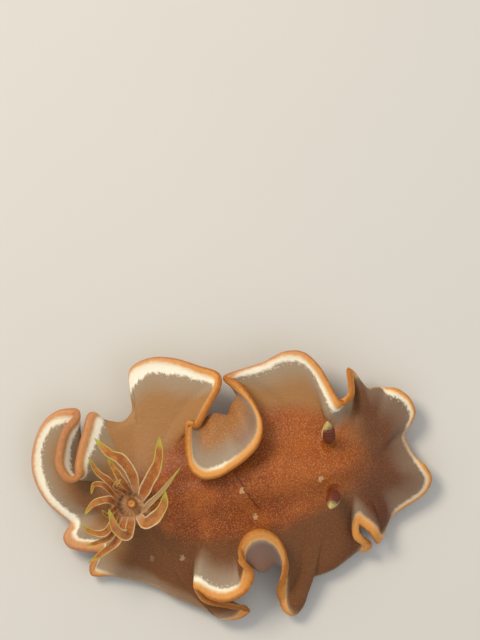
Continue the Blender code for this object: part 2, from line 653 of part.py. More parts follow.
def build_limb(name, path, count, outline, finish, sides=10, side=None, flat=False):
    """Closed body along a path.

    outline gives, for each share of the length, half the width and half the
    thickness of the cross-section; side is the way its width lies at the start,
    level and square to the whole path where it isn't given; flat turns the
    width level along the way.
    """
    points, along = curve_points(path, count)
    if side is None:
        chord = points[-1] - points[0]
        side = np.array([-chord[1], chord[0] + 1e-6, 0.0])
    angle = np.linspace(0.0, 2 * np.pi, sides, endpoint=False)[:, None]
    rings = []
    for i, share in enumerate(np.linspace(0.0, 1.0, count)):
        side = unit(side - (side @ along[i]) * along[i])
        turned = min(1.0, max(0.0, (share - 0.1) / 0.35)) if flat else 0.0
        lie = unit((1.0 - turned) * side + turned * np.cross([0.0, 0.0, 1.0], along[i]))
        width, thickness = outline(share)
        rings.append(points[i] + width * np.cos(angle) * lie
                     + thickness * np.sin(angle) * np.cross(along[i], lie))
    faces = [tuple(range(sides))[::-1]]
    for i in range(count - 1):
        for j in range(sides):
            k = (j + 1) % sides
            faces.append((i * sides + j, i * sides + k, (i + 1) * sides + k, (i + 1) * sides + j))
    faces.append(tuple(range((count - 1) * sides, count * sides)))
    make_object(name, np.concatenate(rings), faces, finish)


def back_height(x, y):
    """Height of the back's upper face above the point (x, y)."""
    angle = np.linspace(0.0, 2 * np.pi, 180, endpoint=False)
    rows = np.concatenate(dome_rows(angle, 16))
    away = np.hypot(rows[:, 0] - x, rows[:, 1] - y)
    return float(rows[np.argmin(away), 2])


def build_collar(name, centre, radius, tube, finish):
    """Low round collar that follows the back's surface, GAP above it."""
    sides, rings = 8, 28
    vertices, faces = [], []
    for i in range(rings):
        turn = 2 * math.pi * i / rings
        foot = back_height(centre[0] + radius * math.cos(turn), centre[1] + radius * math.sin(turn))
        height = foot + GAP + 1.3 * tube
        for j in range(sides):
            lean = 2 * math.pi * j / sides
            out = radius + tube * math.cos(lean)
            vertices.append((centre[0] + out * math.cos(turn), centre[1] + out * math.sin(turn),
                             height + tube * 1.2 * math.sin(lean)))
            after = (i + 1) % rings
            k = (j + 1) % sides
            faces.append((i * sides + j, i * sides + k, after * sides + k, after * sides + j))
    make_object(name, vertices, faces, finish)


def rhinophore_outline(share):
    """Thin stalk, then a ringed club that swells and runs to a blunt tip."""
    club = math.sin(math.pi * min(1.0, max(0.0, (share - 0.1) / 0.92))) ** 0.8
    ridge = 0.05 * math.cos(2 * math.pi * LAMELLAE * share) * club
    radius = 0.93 * RHINOPHORE_RADIUS * (0.5 * (1.0 - share) ** 2 + club) + ridge
    return radius, radius * 0.9


def build_rhinophore(side, ends):
    """One rhinophore with the low sheath around its foot."""
    (x0, y0), (x1, y1) = ends
    bottom = back_height(x0, y0) + GAP
    lean = ((x1 - x0) * 0.4, (y1 - y0) * 0.4)
    path = ((x0, y0, bottom), (x0 + lean[0], y0 + lean[1], bottom + 0.55 * RHINOPHORE_HEIGHT),
            (x1, y1, bottom + RHINOPHORE_HEIGHT))
    build_limb(f"rhinophore_{side}", path, 2 * LAMELLAE + 6, rhinophore_outline, CLUB, sides=14)
    build_collar(f"rhinophore_sheath_{side}", (x0, y0), 0.95, 0.2, NOTUM)


def build_gill():
    """The circle of gill leaves, the low wall around it and the anal papilla."""
    cx, cy = GILL_CENTRE
    for leaf in LEAVES:
        turn = math.radians(leaf.angle)
        out = np.array([math.cos(turn), math.sin(turn)])
        x, y = GILL_CENTRE + GILL_RADIUS * out
        floor = back_height(x, y) + GAP + 0.1
        path = ((x, y, floor), (x + 0.25 * out[0], y + 0.25 * out[1], floor + 1.0), *leaf.path)

        def outline(share, leaf=leaf):
            point = (1.0 - min(share, 0.98) ** 4) ** 0.7
            neck = min(1.0, 0.3 + 1.3 * share)
            return 0.5 * leaf.width * point * neck, 0.5 * LEAF_THICKNESS * (1 - 0.6 * share)

        build_limb(leaf.name, path, 12, outline, LEAF_FLESH, sides=6, side=np.array([-out[1], out[0], 0.0]),
                   flat=True)
    px, py = cx + PAPILLA_OFFSET[0], cy + PAPILLA_OFFSET[1]
    floor = back_height(px, py) + GAP + 0.1
    build_limb("anal_papilla", ((px, py, floor), (px, py, floor + 0.8), (px + 0.1, py, floor + 1.5)), 6,
               lambda share: (0.55 - 0.25 * share**2, 0.55 - 0.25 * share**2), PAPILLA_FLESH, sides=12)
    build_collar("gill_wall", GILL_CENTRE, GILL_RADIUS + 1.2, 0.2, NOTUM)


def build_head():
    """Mouth bulb under the front of the mantle, with its two oral tentacles."""
    cx, cy, cz = HEAD_CENTRE
    rx, ry, rz = HEAD_RADII
    path = ((cx, cy - ry, cz), (cx, cy, cz), (cx, cy + ry, cz))

    def outline(share):
        bulge = math.sqrt(max(0.02, 1.0 - (2 * share - 1) ** 2))
        return rx * bulge, rz * bulge

    build_limb("head", path, 13, outline, PALE, sides=16)
    for side, sign in (("left", 1), ("right", -1)):
        start = (cx + 0.45, cy + sign * (ry + 0.1 + GAP), cz)
        middle = (start[0] + 0.3, start[1] + sign * 0.5 * TENTACLE_LENGTH, cz - 0.1)
        tip = (start[0] + 0.9, start[1] + sign * 0.9 * TENTACLE_LENGTH, cz - 0.2)
        build_limb(f"oral_tentacle_{side}", (start, middle, tip), 7,
                   lambda share: (0.42 - 0.24 * share, 0.36 - 0.2 * share), PALE, sides=8)


def main():
    clear_scene()
    mantle = Mantle()
    for name, start, end in SECTIONS:
        build_mantle_section(mantle, name, start, end)
    build_trunk()
    build_head()
    build_rhinophore("left", RHINOPHORE_LEFT)
    build_rhinophore("right", RHINOPHORE_RIGHT)
    build_gill()


main()
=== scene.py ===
"""Reef sea slug with a ruffled mantle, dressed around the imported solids.

The animal lies along X with its head at +X and its left side at +Y, on the plane
z = 0. Sizes are millimetres in the animal's frame; MM turns them into metres.
"""
import logging
import math
from dataclasses import dataclass
from enum import Enum

import bmesh
import bpy
import numpy as np
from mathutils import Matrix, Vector

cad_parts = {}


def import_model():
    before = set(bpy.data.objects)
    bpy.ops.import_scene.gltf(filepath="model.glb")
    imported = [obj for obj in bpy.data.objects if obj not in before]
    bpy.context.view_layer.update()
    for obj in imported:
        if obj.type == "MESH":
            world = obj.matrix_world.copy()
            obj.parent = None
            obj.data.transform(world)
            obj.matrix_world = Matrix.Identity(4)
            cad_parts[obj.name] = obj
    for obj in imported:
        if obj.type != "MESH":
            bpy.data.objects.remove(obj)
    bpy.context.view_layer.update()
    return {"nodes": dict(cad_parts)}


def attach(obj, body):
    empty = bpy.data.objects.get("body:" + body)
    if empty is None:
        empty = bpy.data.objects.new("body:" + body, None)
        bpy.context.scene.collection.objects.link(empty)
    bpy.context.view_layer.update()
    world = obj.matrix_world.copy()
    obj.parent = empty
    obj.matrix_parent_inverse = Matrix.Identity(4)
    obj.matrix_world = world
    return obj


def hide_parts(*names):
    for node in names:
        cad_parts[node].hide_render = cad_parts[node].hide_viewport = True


log = logging.getLogger("scene")

MM = 0.001


def unit(vectors: np.ndarray) -> np.ndarray:
    """Vectors scaled to length one along the last axis."""
    length = np.linalg.norm(vectors, axis=-1, keepdims=True)
    return vectors / np.maximum(length, 1e-9)


def level(vectors: np.ndarray) -> np.ndarray:
    """Copy of the vectors with no vertical part.

    Args:
        vectors: points or directions [..., 3].

    Returns:
        The copy, with 0 for every z.
    """
    flat = np.array(vectors, dtype=float)
    flat[..., 2] = 0.0
    return flat


def lerp(pair: tuple | np.ndarray, share: float | np.ndarray) -> float | np.ndarray:
    """Value between the pair's two, at this share of the way."""
    return pair[0] + (pair[1] - pair[0]) * share


def smooth_step(low: float, high: float, value: np.ndarray) -> np.ndarray:
    """0 below low, 1 above high, and an S-curve between them."""
    share = np.clip((value - low) / (high - low), 0.0, 1.0)
    return share * share * (3.0 - 2.0 * share)


def linear(hex_color: str) -> tuple[float, float, float, float]:
    """Linear colour of an sRGB one.

    Args:
        hex_color: the sRGB colour, written as RRGGBB.

    Returns:
        Red, green, blue and an alpha of 1.
    """
    shares = [int(hex_color[i:i + 2], 16) / 255 for i in (0, 2, 4)]
    rgb = [s / 12.92 if s <= 0.04045 else ((s + 0.055) / 1.055) ** 2.4 for s in shares]
    return (*rgb, 1.0)


def grid_faces(rows: int, columns: int, closed: bool) -> np.ndarray:
    """Quads of a grid of points that is numbered row by row.

    Args:
        rows: how many rows.
        columns: points in a row.
        closed: whether the last column joins the first.

    Returns:
        Point indices [face, 4].
    """
    last = columns if closed else columns - 1
    i, j = np.meshgrid(np.arange(rows - 1), np.arange(last), indexing="ij")
    k = (j + 1) % columns
    corners = [i * columns + j, i * columns + k, (i + 1) * columns + k, (i + 1) * columns + j]
    return np.stack(corners, axis=-1).reshape(-1, 4)


def tube_faces(rows: int, around: int) -> list[tuple[int, ...]]:
    """Faces of a tube whose two ends are closed.

    Args:
        rows: rings along the tube.
        around: points in a ring.

    Returns:
        One tuple of point indices for each face.
    """
    first, last = tuple(range(around)), tuple(range((rows - 1) * around, rows * around))
    return [*map(tuple, grid_faces(rows, around, True).tolist()), first[::-1], last]


def passing(a: np.ndarray, b: np.ndarray, c: np.ndarray, d: np.ndarray, s: float | np.ndarray) -> np.ndarray:
    """Point at share s of the way from b to c, on the Catmull-Rom cubic past a, b, c and d."""
    return 0.5 * (2 * b + (c - a) * s + (2 * a - 5 * b + 4 * c - d) * s**2 + (3 * b - a - 3 * c + d) * s**3)


def bezier(a: np.ndarray, b: np.ndarray, c: np.ndarray, d: np.ndarray, s: np.ndarray) -> np.ndarray:
    """Point at share s of the cubic Bezier curve from a to d that is drawn toward b and c."""
    return (1 - s)**3 * a + 3 * (1 - s)**2 * s * b + 3 * (1 - s) * s**2 * c + s**3 * d


def open_curve(path: tuple | list, count: int) -> np.ndarray:
    """Points of a smooth open curve: a Catmull-Rom cubic between each two points of the path.

    Args:
        path: the points that it passes.
        count: how many points to give.

    Returns:
        Points [count, 3], the same number of them to each stretch of the path.
    """
    path = np.array(path, dtype=float)
    around = np.vstack([2 * path[0] - path[1], path, 2 * path[-1] - path[-2]])
    at = np.linspace(0.0, len(path) - 1.0, count)
    left = np.minimum(at.astype(int), len(path) - 2)
    s = (at - left)[:, None]
    return passing(*(around[left + k] for k in range(4)), s)


def carried_sides(points: np.ndarray, side: np.ndarray) -> tuple[np.ndarray, np.ndarray, np.ndarray]:
    """Frame that is carried along a curve without twisting.

    Args:
        points: the curve's points [row, 3].
        side: the way that its width lies at the start.

    Returns:
        The unit tangents, sides and normals at the points.
    """
    along = unit(np.gradient(points, axis=0))
    sides = np.empty_like(points)
    for i, tangent in enumerate(along):
        side = unit(side - (side @ tangent) * tangent)
        sides[i] = side
    return along, sides, np.cross(along, sides)


class Builder:
    """Turns arrays of points in millimetres into dressed objects on the animal."""

    @staticmethod
    def mesh_object(name: str, points: np.ndarray, faces: np.ndarray | list, material: bpy.types.Material,
                    attributes: dict[str, np.ndarray] | None = None, weld: float = 0.0) -> bpy.types.Object:
        """Smooth-shaded object that rides on the animal.

        Args:
            name: the piece's name.
            points: its points in millimetres.
            faces: index tuples or an array of quads.
            material: its skin.
            attributes: one value or vector per point, by attribute name.
            weld: distance in millimetres at which points are joined.

        Returns:
            The object, which sits at the origin.
        """
        mesh = bpy.data.meshes.new(name)
        flat = np.asarray(points, dtype=float).reshape(-1, 3) * MM
        mesh.from_pydata(flat.tolist(), [], faces.tolist() if isinstance(faces, np.ndarray) else faces)
        for key, values in (attributes or {}).items():
            values = np.asarray(values, dtype=np.float32)
            kind = "FLOAT_VECTOR" if values.ndim == 2 else "FLOAT"
            attribute = mesh.attributes.new(key, kind, "POINT")
            attribute.data.foreach_set("vector" if kind == "FLOAT_VECTOR" else "value", values.ravel())
        if weld:
            work = bmesh.new()
            work.from_mesh(mesh)
            bmesh.ops.remove_doubles(work, verts=work.verts, dist=weld * MM)
            bmesh.ops.dissolve_degenerate(work, edges=work.edges, dist=weld * MM)
            work.to_mesh(mesh)
            work.free()
        mesh.validate()
        mesh.shade_smooth()
        mesh.materials.append(material)
        obj = bpy.data.objects.new(name, mesh)
        bpy.context.collection.objects.link(obj)
        return obj


class Socket:
    """One output socket of a material's nodes, with arithmetic."""

    def __init__(self, graph: "Graph", socket: bpy.types.NodeSocket):
        """Keep the socket and the nodes that it belongs to."""
        self.graph = graph
        self.socket = socket

    def _math(self, operation: str, *others: "Socket | float", clamp: bool = False) -> "Socket":
        """One Math node on this socket and the others."""
        return self.graph.node("ShaderNodeMath", {"operation": operation, "use_clamp": clamp}, self, *others)

    def __add__(self, other: "Socket | float") -> "Socket":
        """Sum of the two."""
        return self._math("ADD", other)

    def __sub__(self, other: "Socket | float") -> "Socket":
        """This one less the other."""
        return self._math("SUBTRACT", other)

    def __rsub__(self, other: "Socket | float") -> "Socket":
        """The other one less this."""
        return self.graph.node("ShaderNodeMath", {"operation": "SUBTRACT"}, other, self)

    def __mul__(self, other: "Socket | float") -> "Socket":
        """Product of the two."""
        return self._math("MULTIPLY", other)

    def __truediv__(self, other: "Socket | float") -> "Socket":
        """This one over the other."""
        return self._math("DIVIDE", other)

    __radd__ = __add__
    __rmul__ = __mul__

    def most(self, other: "Socket | float") -> "Socket":
        """The larger of the two."""
        return self._math("MAXIMUM", other)

    def distance(self) -> "Socket":
        """How far the value is from 0."""
        return self._math("ABSOLUTE")

    def step(self, low: "Socket | float", high: "Socket | float") -> "Socket":
        """0 where this is below low, 1 above high, smooth between; high may be the lower."""
        return ((self - low) / (high - low))._math("ADD", 0.0, clamp=True)._eased()

    def _eased(self) -> "Socket":
        """S-curve of a share from 0 to 1: 3 s squared less 2 s cubed."""
        return self * self * (3.0 - self * 2.0)


class Graph:
    """The node tree of one material."""

    def __init__(self, name: str):
        """New material, with its Object coordinates in millimetres.

        Args:
            name: the material's name.
        """
        self.material = bpy.data.materials.new(name)
        self.material.use_nodes = True
        self.tree = self.material.node_tree
        self.shader = self.tree.nodes["Principled BSDF"]
        coordinates = self.tree.nodes.new("ShaderNodeTexCoord").outputs["Object"]
        self.place = self.node("ShaderNodeVectorMath", {"operation": "SCALE"}, coordinates, Scale=1.0 / MM)
        self.x = self.node("ShaderNodeSeparateXYZ", {}, self.place, output="X")
        self.y = self.node("ShaderNodeSeparateXYZ", {}, self.place, output="Y")

    def node(self, kind: str, options: dict | None = None, *inputs: object, output: str | int = 0,
             **named: object) -> Socket:
        """New node with its options and inputs set.

        Args:
            kind: Blender's name for the node.
            options: its properties.
            inputs: values or sockets for its first inputs, in order.
            output: the output to return.
            named: values or sockets for inputs by name.

        Returns:
            The socket of that output.
        """
        made = self.tree.nodes.new(kind)
        for key, value in (options or {}).items():
            setattr(made, key, value)
        for key, value in [*enumerate(inputs), *named.items()]:
            self.feed(made.inputs[key], value)
        return Socket(self, made.outputs[output])

    def feed(self, target: bpy.types.NodeSocket, value: object) -> None:
        """Link a socket to the target, or set a constant on it.

        Args:
            target: the input to fill.
            value: a socket or a constant.
        """
        if isinstance(value, Socket):
            self.tree.links.new(value.socket, target)
        elif isinstance(value, bpy.types.NodeSocket):
            self.tree.links.new(value, target)
        else:
            target.default_value = value

    def value(self, name: str) -> Socket:
        """The float attribute of that name."""
        return self.node("ShaderNodeAttribute", {"attribute_name": name}, output="Fac")

    def vector(self, name: str) -> Socket:
        """The vector attribute of that name."""
        return self.node("ShaderNodeAttribute", {"attribute_name": name}, output="Vector")

    def noise(self, per_mm: float, detail: float = 2.0, where: Socket | None = None) -> Socket:
        """Noise between about 0.25 and 0.75, with so many features in a millimetre."""
        return self.node("ShaderNodeTexNoise", {}, Vector=where or self.place, Scale=per_mm, Detail=detail)

    def cells(self, per_mm: float) -> Socket:
        """Distance to the nearest of scattered points, in cells."""
        return self.node("ShaderNodeTexVoronoi", {}, Vector=self.place, Scale=per_mm, output="Distance")

    def color(self, base: Socket | str, other: Socket | str, share: Socket | float) -> Socket:
        """Base colour mixed toward the other.

        Args:
            base: a colour, as a socket or RRGGBB.
            other: the colour it turns to.
            share: how much of the other.

        Returns:
            The mixed colour.
        """
        made = self.tree.nodes.new("ShaderNodeMix")
        made.data_type = "RGBA"
        self.feed(made.inputs["Factor"], share)
        for key, value in (("A", base), ("B", other)):
            target = [s for s in made.inputs if s.name == key and s.type == "RGBA"][0]
            self.feed(target, linear(value) if isinstance(value, str) else value)
        return Socket(self, [s for s in made.outputs if s.type == "RGBA"][0])

    def near(self, point: tuple[float, float], radius: float, rough: float = 0.0) -> Socket:
        """1 near a place seen from above, fading out at an edge that may be rough.

        Args:
            point: the place, x and y.
            radius: where the mask has faded to 0.
            rough: how far the edge wanders.

        Returns:
            The mask.
        """
        seen = self.node("ShaderNodeVectorMath", {"operation": "MULTIPLY"}, self.place, (1.0, 1.0, 0.0))
        away = self.node("ShaderNodeVectorMath", {"operation": "DISTANCE"}, seen, (*point, 0.0),
                         output="Value")
        if rough:
            away = away + (self.noise(3.4) - 0.5) * rough
        return away.step(radius, 0.55 * radius)

    def finish(self, color: Socket, roughness: Socket | float, bump: Socket | None = None,
               bump_mm: float = 0.05, **constants: float | tuple) -> bpy.types.Material:
        """Connect the surface.

        Args:
            color: its base colour.
            roughness: its roughness.
            bump: its relief, from 0 to 1.
            bump_mm: the height of that relief.
            constants: values for other sockets of the shader.

        Returns:
            The material.
        """
        self.feed(self.shader.inputs["Base Color"], color)
        self.feed(self.shader.inputs["Roughness"], roughness)
        if bump is not None:
            made = self.tree.nodes.new("ShaderNodeBump")
            made.inputs["Distance"].default_value = bump_mm * MM
            made.inputs["Strength"].default_value = 1.0
            self.feed(made.inputs["Height"], bump)
            self.tree.links.new(made.outputs["Normal"], self.shader.inputs["Normal"])
        for name, value in constants.items():
            self.shader.inputs[name.replace("_", " ")].default_value = value
        return self.material


@dataclass(frozen=True)
class SkinFinish:
    """The mantle, back, body and foot: all markings follow the distance to the rim; painted shade and light
    lie over the back, and a painted highlight on the margin.
    """

    edge: str = "B06A24"
    orange: str = "DA9548"
    # Painted highlight on the rounded orange margin
    orange_highlight: str = "EFBF84"
    pink: str = "C49478"
    tan: str = "8C6C4A"
    white: str = "FBF4DE"
    cream: str = "EBCF9E"
    grey: str = "A6947A"
    head_grey: str = "86705A"
    # Left and right colours of the back: partly the lobes' own tan and brown, partly painted light on the
    # left side and painted shade on the right side, away from the key lamp
    left_tan_in_light: str = "A67848"
    right_brown_in_shade: str = "724522"
    head_brown: str = "5E311A"
    centre: str = "8A3C12"
    centre_bright: str = "A6541A"
    centre_deep: str = "6A3014"
    speck: str = "D49C58"
    under: str = "8F6E54"
    under_right: str = "806457"
    under_deep: str = "9C673A"
    gill_floor: str = "C2966A"
    # Dark colour of the painted shade along a crease in the back
    crease_shade: str = "4E2412"
    gill_place: tuple = (-10.9, -2.3)
    gill_reach: float = 2.5
    gill_stripes: float = 14.0
    bright_place: tuple = (9.0, 3.2)
    bright_reach: float = 7.0
    crease_ends: tuple = ((0.5, 1.1), (3.3, -3.1))
    crease_width: float = 0.13
    # Pale spots on the back: x, y and strength
    pale_spots: tuple = ((9.75, 0.65, 0.5), (1.2, -0.6, 0.4), (2.6, -3.5, 0.5),
                         (-5.3, -8.0, 0.3), (-8.6, -8.1, 0.15))

    def _crease_shade(self, g: Graph) -> Socket:
        """Painted shade of a crease in the back: a thin wavy line, 1 near the straight line between its ends,
        moved sideways by noise.

        Args:
            g: the material's nodes.

        Returns:
            The mask.
        """
        start, end = self.crease_ends
        way = Vector(end) - Vector(start)
        wave = (g.noise(0.9, 3.0) - 0.5) * 0.9
        along = (g.x - start[0]) * (way.x / way.length) + (g.y - start[1]) * (way.y / way.length)
        along = along / way.length
        across = (g.x - start[0]) * (-way.y / way.length) + (g.y - start[1]) * (way.x / way.length) + wave
        inside = along.step(0.0, 0.12) * along.step(1.0, 0.85)
        return across.distance().step(self.crease_width, 0.3 * self.crease_width) * inside

    def _back(self, g: Graph, soft: Socket, dots: Socket, mottle: Socket) -> Socket:
        """The speckled upper face away from the rim, with painted shade on its right side and along a crease,
        and painted light on its left side.

        Args:
            g: the material's nodes.
            soft: slow noise, about 0 in the middle.
            dots: scattered small dots.
            mottle: fine patches.

        Returns:
            The colour.
        """
        warmth = g.value("warmth")
        behind = (-9.0 - g.x).most(0.0) * g.y.step(-3.0, -6.0)
        # From right to left the back turns from brown to tan: partly its own colours, partly painted shade on
        # the right side and painted light on the left
        side = (g.y + soft * 4.0 + behind * 2.4).step(-4.5, 4.5)
        back = g.color(self.right_brown_in_shade, self.left_tan_in_light, side)
        back = g.color(back, self.head_brown, (g.x + soft * 4.0).step(9.5, 15.5) * 0.9)
        core = g.color(self.centre, self.centre_bright, g.noise(0.45, 3.0).step(0.36, 0.66) * 0.7)
        core = g.color(core, self.centre_deep, g.noise(0.35, 3.0).step(0.5, 0.7) * 0.3)
        core = g.color(core, self.centre_bright, g.near(self.bright_place, self.bright_reach) * 0.55)
        warm = (warmth + soft * 0.4).step(0.08, 0.75)
        back = g.color(back, core, warm)
        back = g.color(back, self.speck, mottle * (0.06 + 0.16 * warm) + dots * (0.1 + 0.36 * warm))
        # painted shade along a crease in the back
        back = g.color(back, self.crease_shade, self._crease_shade(g) * 0.7)
        for x, y, strength in self.pale_spots:
            back = g.color(back, self.cream, g.near((x, y), 0.36, 0.8) * strength)
        ribs = g.color(self.gill_floor, self.cream, self._ribs(g) * 0.35)
        return g.color(back, ribs, g.near(self.gill_place, self.gill_reach) * 0.9)

    def _ribs(self, g: Graph) -> Socket:
        """Stripes that run out from the middle of the gill: the sine of a multiple of the angle.

        Args:
            g: the material's nodes.

        Returns:
            1 on the stripes, 0 between them.
        """
        x, y = self.gill_place
        turn = g.node("ShaderNodeMath", {"operation": "ARCTAN2"}, g.y - y, g.x - x)
        return g.node("ShaderNodeMath", {"operation": "SINE"}, turn * self.gill_stripes).step(-0.3, 0.6)

    def build(self) -> bpy.types.Material:
        """Margin with a painted highlight, white band, grey zone, speckled back with painted shade and light,
        and underside.

        Returns:
            The material, which reads the attributes that Skin.build writes.
        """
        g = Graph("slug_skin")
        rim, margin, band = g.value("rim_distance"), g.value("margin"), g.value("band")
        under, tint = g.value("under"), g.value("tint")
        circle = g.vector("rim_circle")
        teeth = (g.noise(0.8, 2.0, circle) - 0.5) * 1.6 + (g.noise(2.6, 3.0, circle) - 0.5) * 1.6
        fine = g.noise(2.2, 3.0) - 0.5
        soft = g.noise(0.3, 2.0) - 0.5
        dots = g.cells(5.4).step(0.4, 0.18)
        mottle = g.noise(5.6, 2.0).step(0.44, 0.66)

        leftward = g.y.step(-6.0, 1.0)
        below = g.color(self.under_right, self.under, leftward)
        below = g.color(below, self.under_deep, (rim + soft * 2.0).step(2.0, 4.5) * (0.25 + 0.75 * leftward))
        specks = (mottle * 0.3 + dots * 0.25) * rim.step(1.8, 4.0) * (0.2 + 0.8 * leftward)
        below = g.color(below, self.speck, specks)
        flesh = g.color(self._back(g, soft, dots, mottle), below, under)

        inner = margin + band * (1.0 + teeth * 0.45)
        veil = band.step(0.0, 0.2)
        grey_zone = (rim + soft * 1.4).step(inner + 0.6 + 3.2 * veil, inner + 0.15) * (0.2 + 0.65 * veil)
        grey = g.color(self.grey, self.head_grey, g.x.step(12.0, 17.0))
        flesh = g.color(flesh, grey, grey_zone)
        flecks = g.noise(3.6, 3.0).step(0.55, 0.66) * rim.step(inner + 0.8, inner) * band.step(0.12, 0.4)
        flesh = g.color(flesh, self.white, flecks * 0.7)
        white = (rim + fine * 0.4).step(inner + 0.3, inner - 0.12) * band.step(0.04, 0.32)
        flesh = g.color(flesh, self.white, white)

        edge = rim + fine * 0.3
        share = rim / margin.most(0.25)
        orange = g.color(self.edge, self.orange, (share + fine * 0.5).step(0.0, 0.45))
        # painted highlight along the inner part of the rounded orange margin
        orange = g.color(orange, self.orange_highlight, (share + fine * 0.5).step(0.55, 1.0) * 0.5)
        orange = g.color(orange, self.pink, tint.most(0.0) * 0.9)
        orange = g.color(orange, self.tan, (tint * -1.0).most(0.0) * 0.85)
        pale_line = edge.step(margin + 0.42, margin + 0.02) * margin.step(0.1, 0.5)
        flesh = g.color(flesh, self.cream, pale_line * (0.15 + 0.6 * band.step(0.0, 0.3)))
        flesh = g.color(flesh, orange, edge.step(margin + 0.16, margin - 0.2))

        relief = mottle * 0.22 + g.noise(1.1, 5.0) * 0.8 + g.noise(5.0, 2.0) * 0.2
        return g.finish(flesh, 0.42 + 0.2 * fine, relief, 0.06, Specular_IOR_Level=0.25,
                        Subsurface_Weight=0.15, Subsurface_Radius=(1.0, 0.5, 0.28),
                        Subsurface_Scale=0.0006)


@dataclass(frozen=True)
class ClubFinish:
    """Rhinophores: dark red-brown leaves, a pale tip and a pale line down the rear."""

    club: str = "5C2615"
    club_light: str = "8A421C"
    pale: str = "D8C690"
    cap: str = "C0AE68"
    stalk: str = "7A4426"

    def build(self) -> bpy.types.Material:
        """Dark leaves with lighter ridges, a pale line down the rear and a pale tip.

        Returns:
            The material, which reads the attributes share, ridge and rear.
        """
        g = Graph("slug_rhinophore")
        share, ridge, rear = g.value("share"), g.value("ridge"), g.value("rear")
        grain = (g.noise(2.5) - 0.5) * 0.1
        color = g.color(self.club, self.club_light, ridge * 0.4 + g.noise(1.5).step(0.45, 0.65) * 0.3)
        color = g.color(self.stalk, color, share.step(0.12, 0.24))
        color = g.color(color, self.pale, rear.step(0.84, 0.98) * share.step(0.2, 0.35) * 0.9)
        color = g.color(color, self.cap, (share + rear * 0.08 + grain).step(0.76, 0.94))
        return g.finish(color, 0.42, g.noise(4.0, 3.0), 0.03, Specular_IOR_Level=0.4,
                        Subsurface_Weight=0.1, Subsurface_Radius=(1.0, 0.4, 0.2), Subsurface_Scale=0.0004)


@dataclass(frozen=True)
class LeafFinish:
    """Gill leaves: orange-brown blades with cream edges that turn yellow-green."""

    blade: str = "C07838"
    blade_deep: str = "9A4F1C"
    root: str = "E2C29C"
    olive: str = "B8986A"
    edge: str = "E6CC9A"
    tip: str = "B8B844"

    def build(self) -> bpy.types.Material:
        """Mottled blades with thin veins and pale edges.

        Returns:
            The material, which reads the attributes across, along and pale.
        """
        g = Graph("slug_gill")
        across, along = g.value("across"), g.value("along")
        veins = g.node("ShaderNodeMath", {"operation": "SINE"}, along * 150.0 + across.distance() * 16.0)
        color = g.color(self.blade, self.blade_deep, g.noise(1.2, 3.0).step(0.35, 0.65) * 0.75)
        color = g.color(color, self.olive, g.value("pale") * 0.85)
        color = g.color(color, self.edge, veins.step(0.5, 1.0) * 0.14)
        color = g.color(color, self.root, along.step(0.36, 0.1) * 0.85)
        pale = g.color(self.edge, self.tip, (along + (g.noise(1.0) - 0.5) * 0.3).step(0.5, 0.85))
        rim = (across.distance() + (g.noise(3.0) - 0.5) * 0.16).step(0.68, 0.88)
        color = g.color(color, pale, rim * (0.75 + 0.2 * along))
        color = g.color(color, self.tip, along.step(0.86, 0.98) * 0.85)
        return g.finish(color, 0.4, veins * 0.3 + g.noise(4.0, 3.0), 0.03, Specular_IOR_Level=0.25,
                        Subsurface_Weight=0.12, Subsurface_Radius=(1.0, 0.5, 0.25), Subsurface_Scale=0.0005)


@dataclass(frozen=True)
class PapillaFinish:
    """Anal papilla: an orange tube with a paler lip."""

    flesh: str = "B87434"
    lip: str = "CE965A"

    def build(self) -> bpy.types.Material:
        """Orange flesh that turns paler toward the mouth.

        Returns:
            The material, which reads the attribute share.
        """
        g = Graph("slug_papilla")
        color = g.color(self.flesh, self.lip, (g.value("share") + (g.noise(3.0) - 0.5) * 0.3).step(0.6, 0.95))
        return g.finish(color, 0.4, g.noise(5.0, 3.0), 0.03, Specular_IOR_Level=0.4)


@dataclass(frozen=True)
class FloorFinish:
    """Plain pale studio floor."""

    paper: str = "D9D6CE"
    paper_shade: str = "D3D0C8"

    def build(self) -> bpy.types.Material:
        """Material with hardly any shine."""
        g = Graph("studio_floor")
        return g.finish(g.color(self.paper, self.paper_shade, g.noise(0.02, 2.0)), 0.8)


class Fold(Enum):
    """How a stretch of the mantle reaches its rim."""

    OPEN = "open"    # a lobe with its upper face out
    TUCK = "tuck"    # the rim turns down and under
    HANG = "hang"    # a fold that bulges toward a point before it comes back to the rim


TAIL_FOLD = (-9.0, 4.5)
TAIL_TONGUE = (-19.6, 2.5)
LEFT_CUP = (-0.3, 10.2)
LEFT_POCKET = (12.4, 12.3)
CURL_RIGHT = (22.0, 0.0)
CURL_TOP = (12.0, 4.0)
CURL_LEFT = (6.0, -9.0)
CURL_END = (9.0, -9.0)
TONGUE_SIDE = (11.0, -11.0)
RIGHT_ARCH = (3.7, -13.8)
SHELF_SIDE = (-3.0, -9.0)
RIGHT_TONGUE = (-8.0, -11.6)


@dataclass(frozen=True)
class Ruffle:
    """One stretch of the mantle's rim, with its shape and its markings.

    height, reach, drop, margin, band and tint go from the first value to the second
    along the path. via has the first and last place that the sheet heads for as it
    leaves the body, where that isn't straight for the rim. margin and band are the
    widths of the orange edge and of the white band inside it. A tint above 0 makes
    the edge pinkish, and one below 0 makes it tan.
    """

    name: str
    fold: Fold
    height: tuple[float, float]
    reach: tuple[float, float]
    drop: tuple[float, float]
    path: tuple
    aim: tuple = (0.0, 0.0)
    via: tuple = ()
    margin: tuple[float, float] = (1.0, 1.0)
    band: tuple[float, float] = (0.5, 0.5)
    tint: tuple[float, float] = (0.0, 0.0)


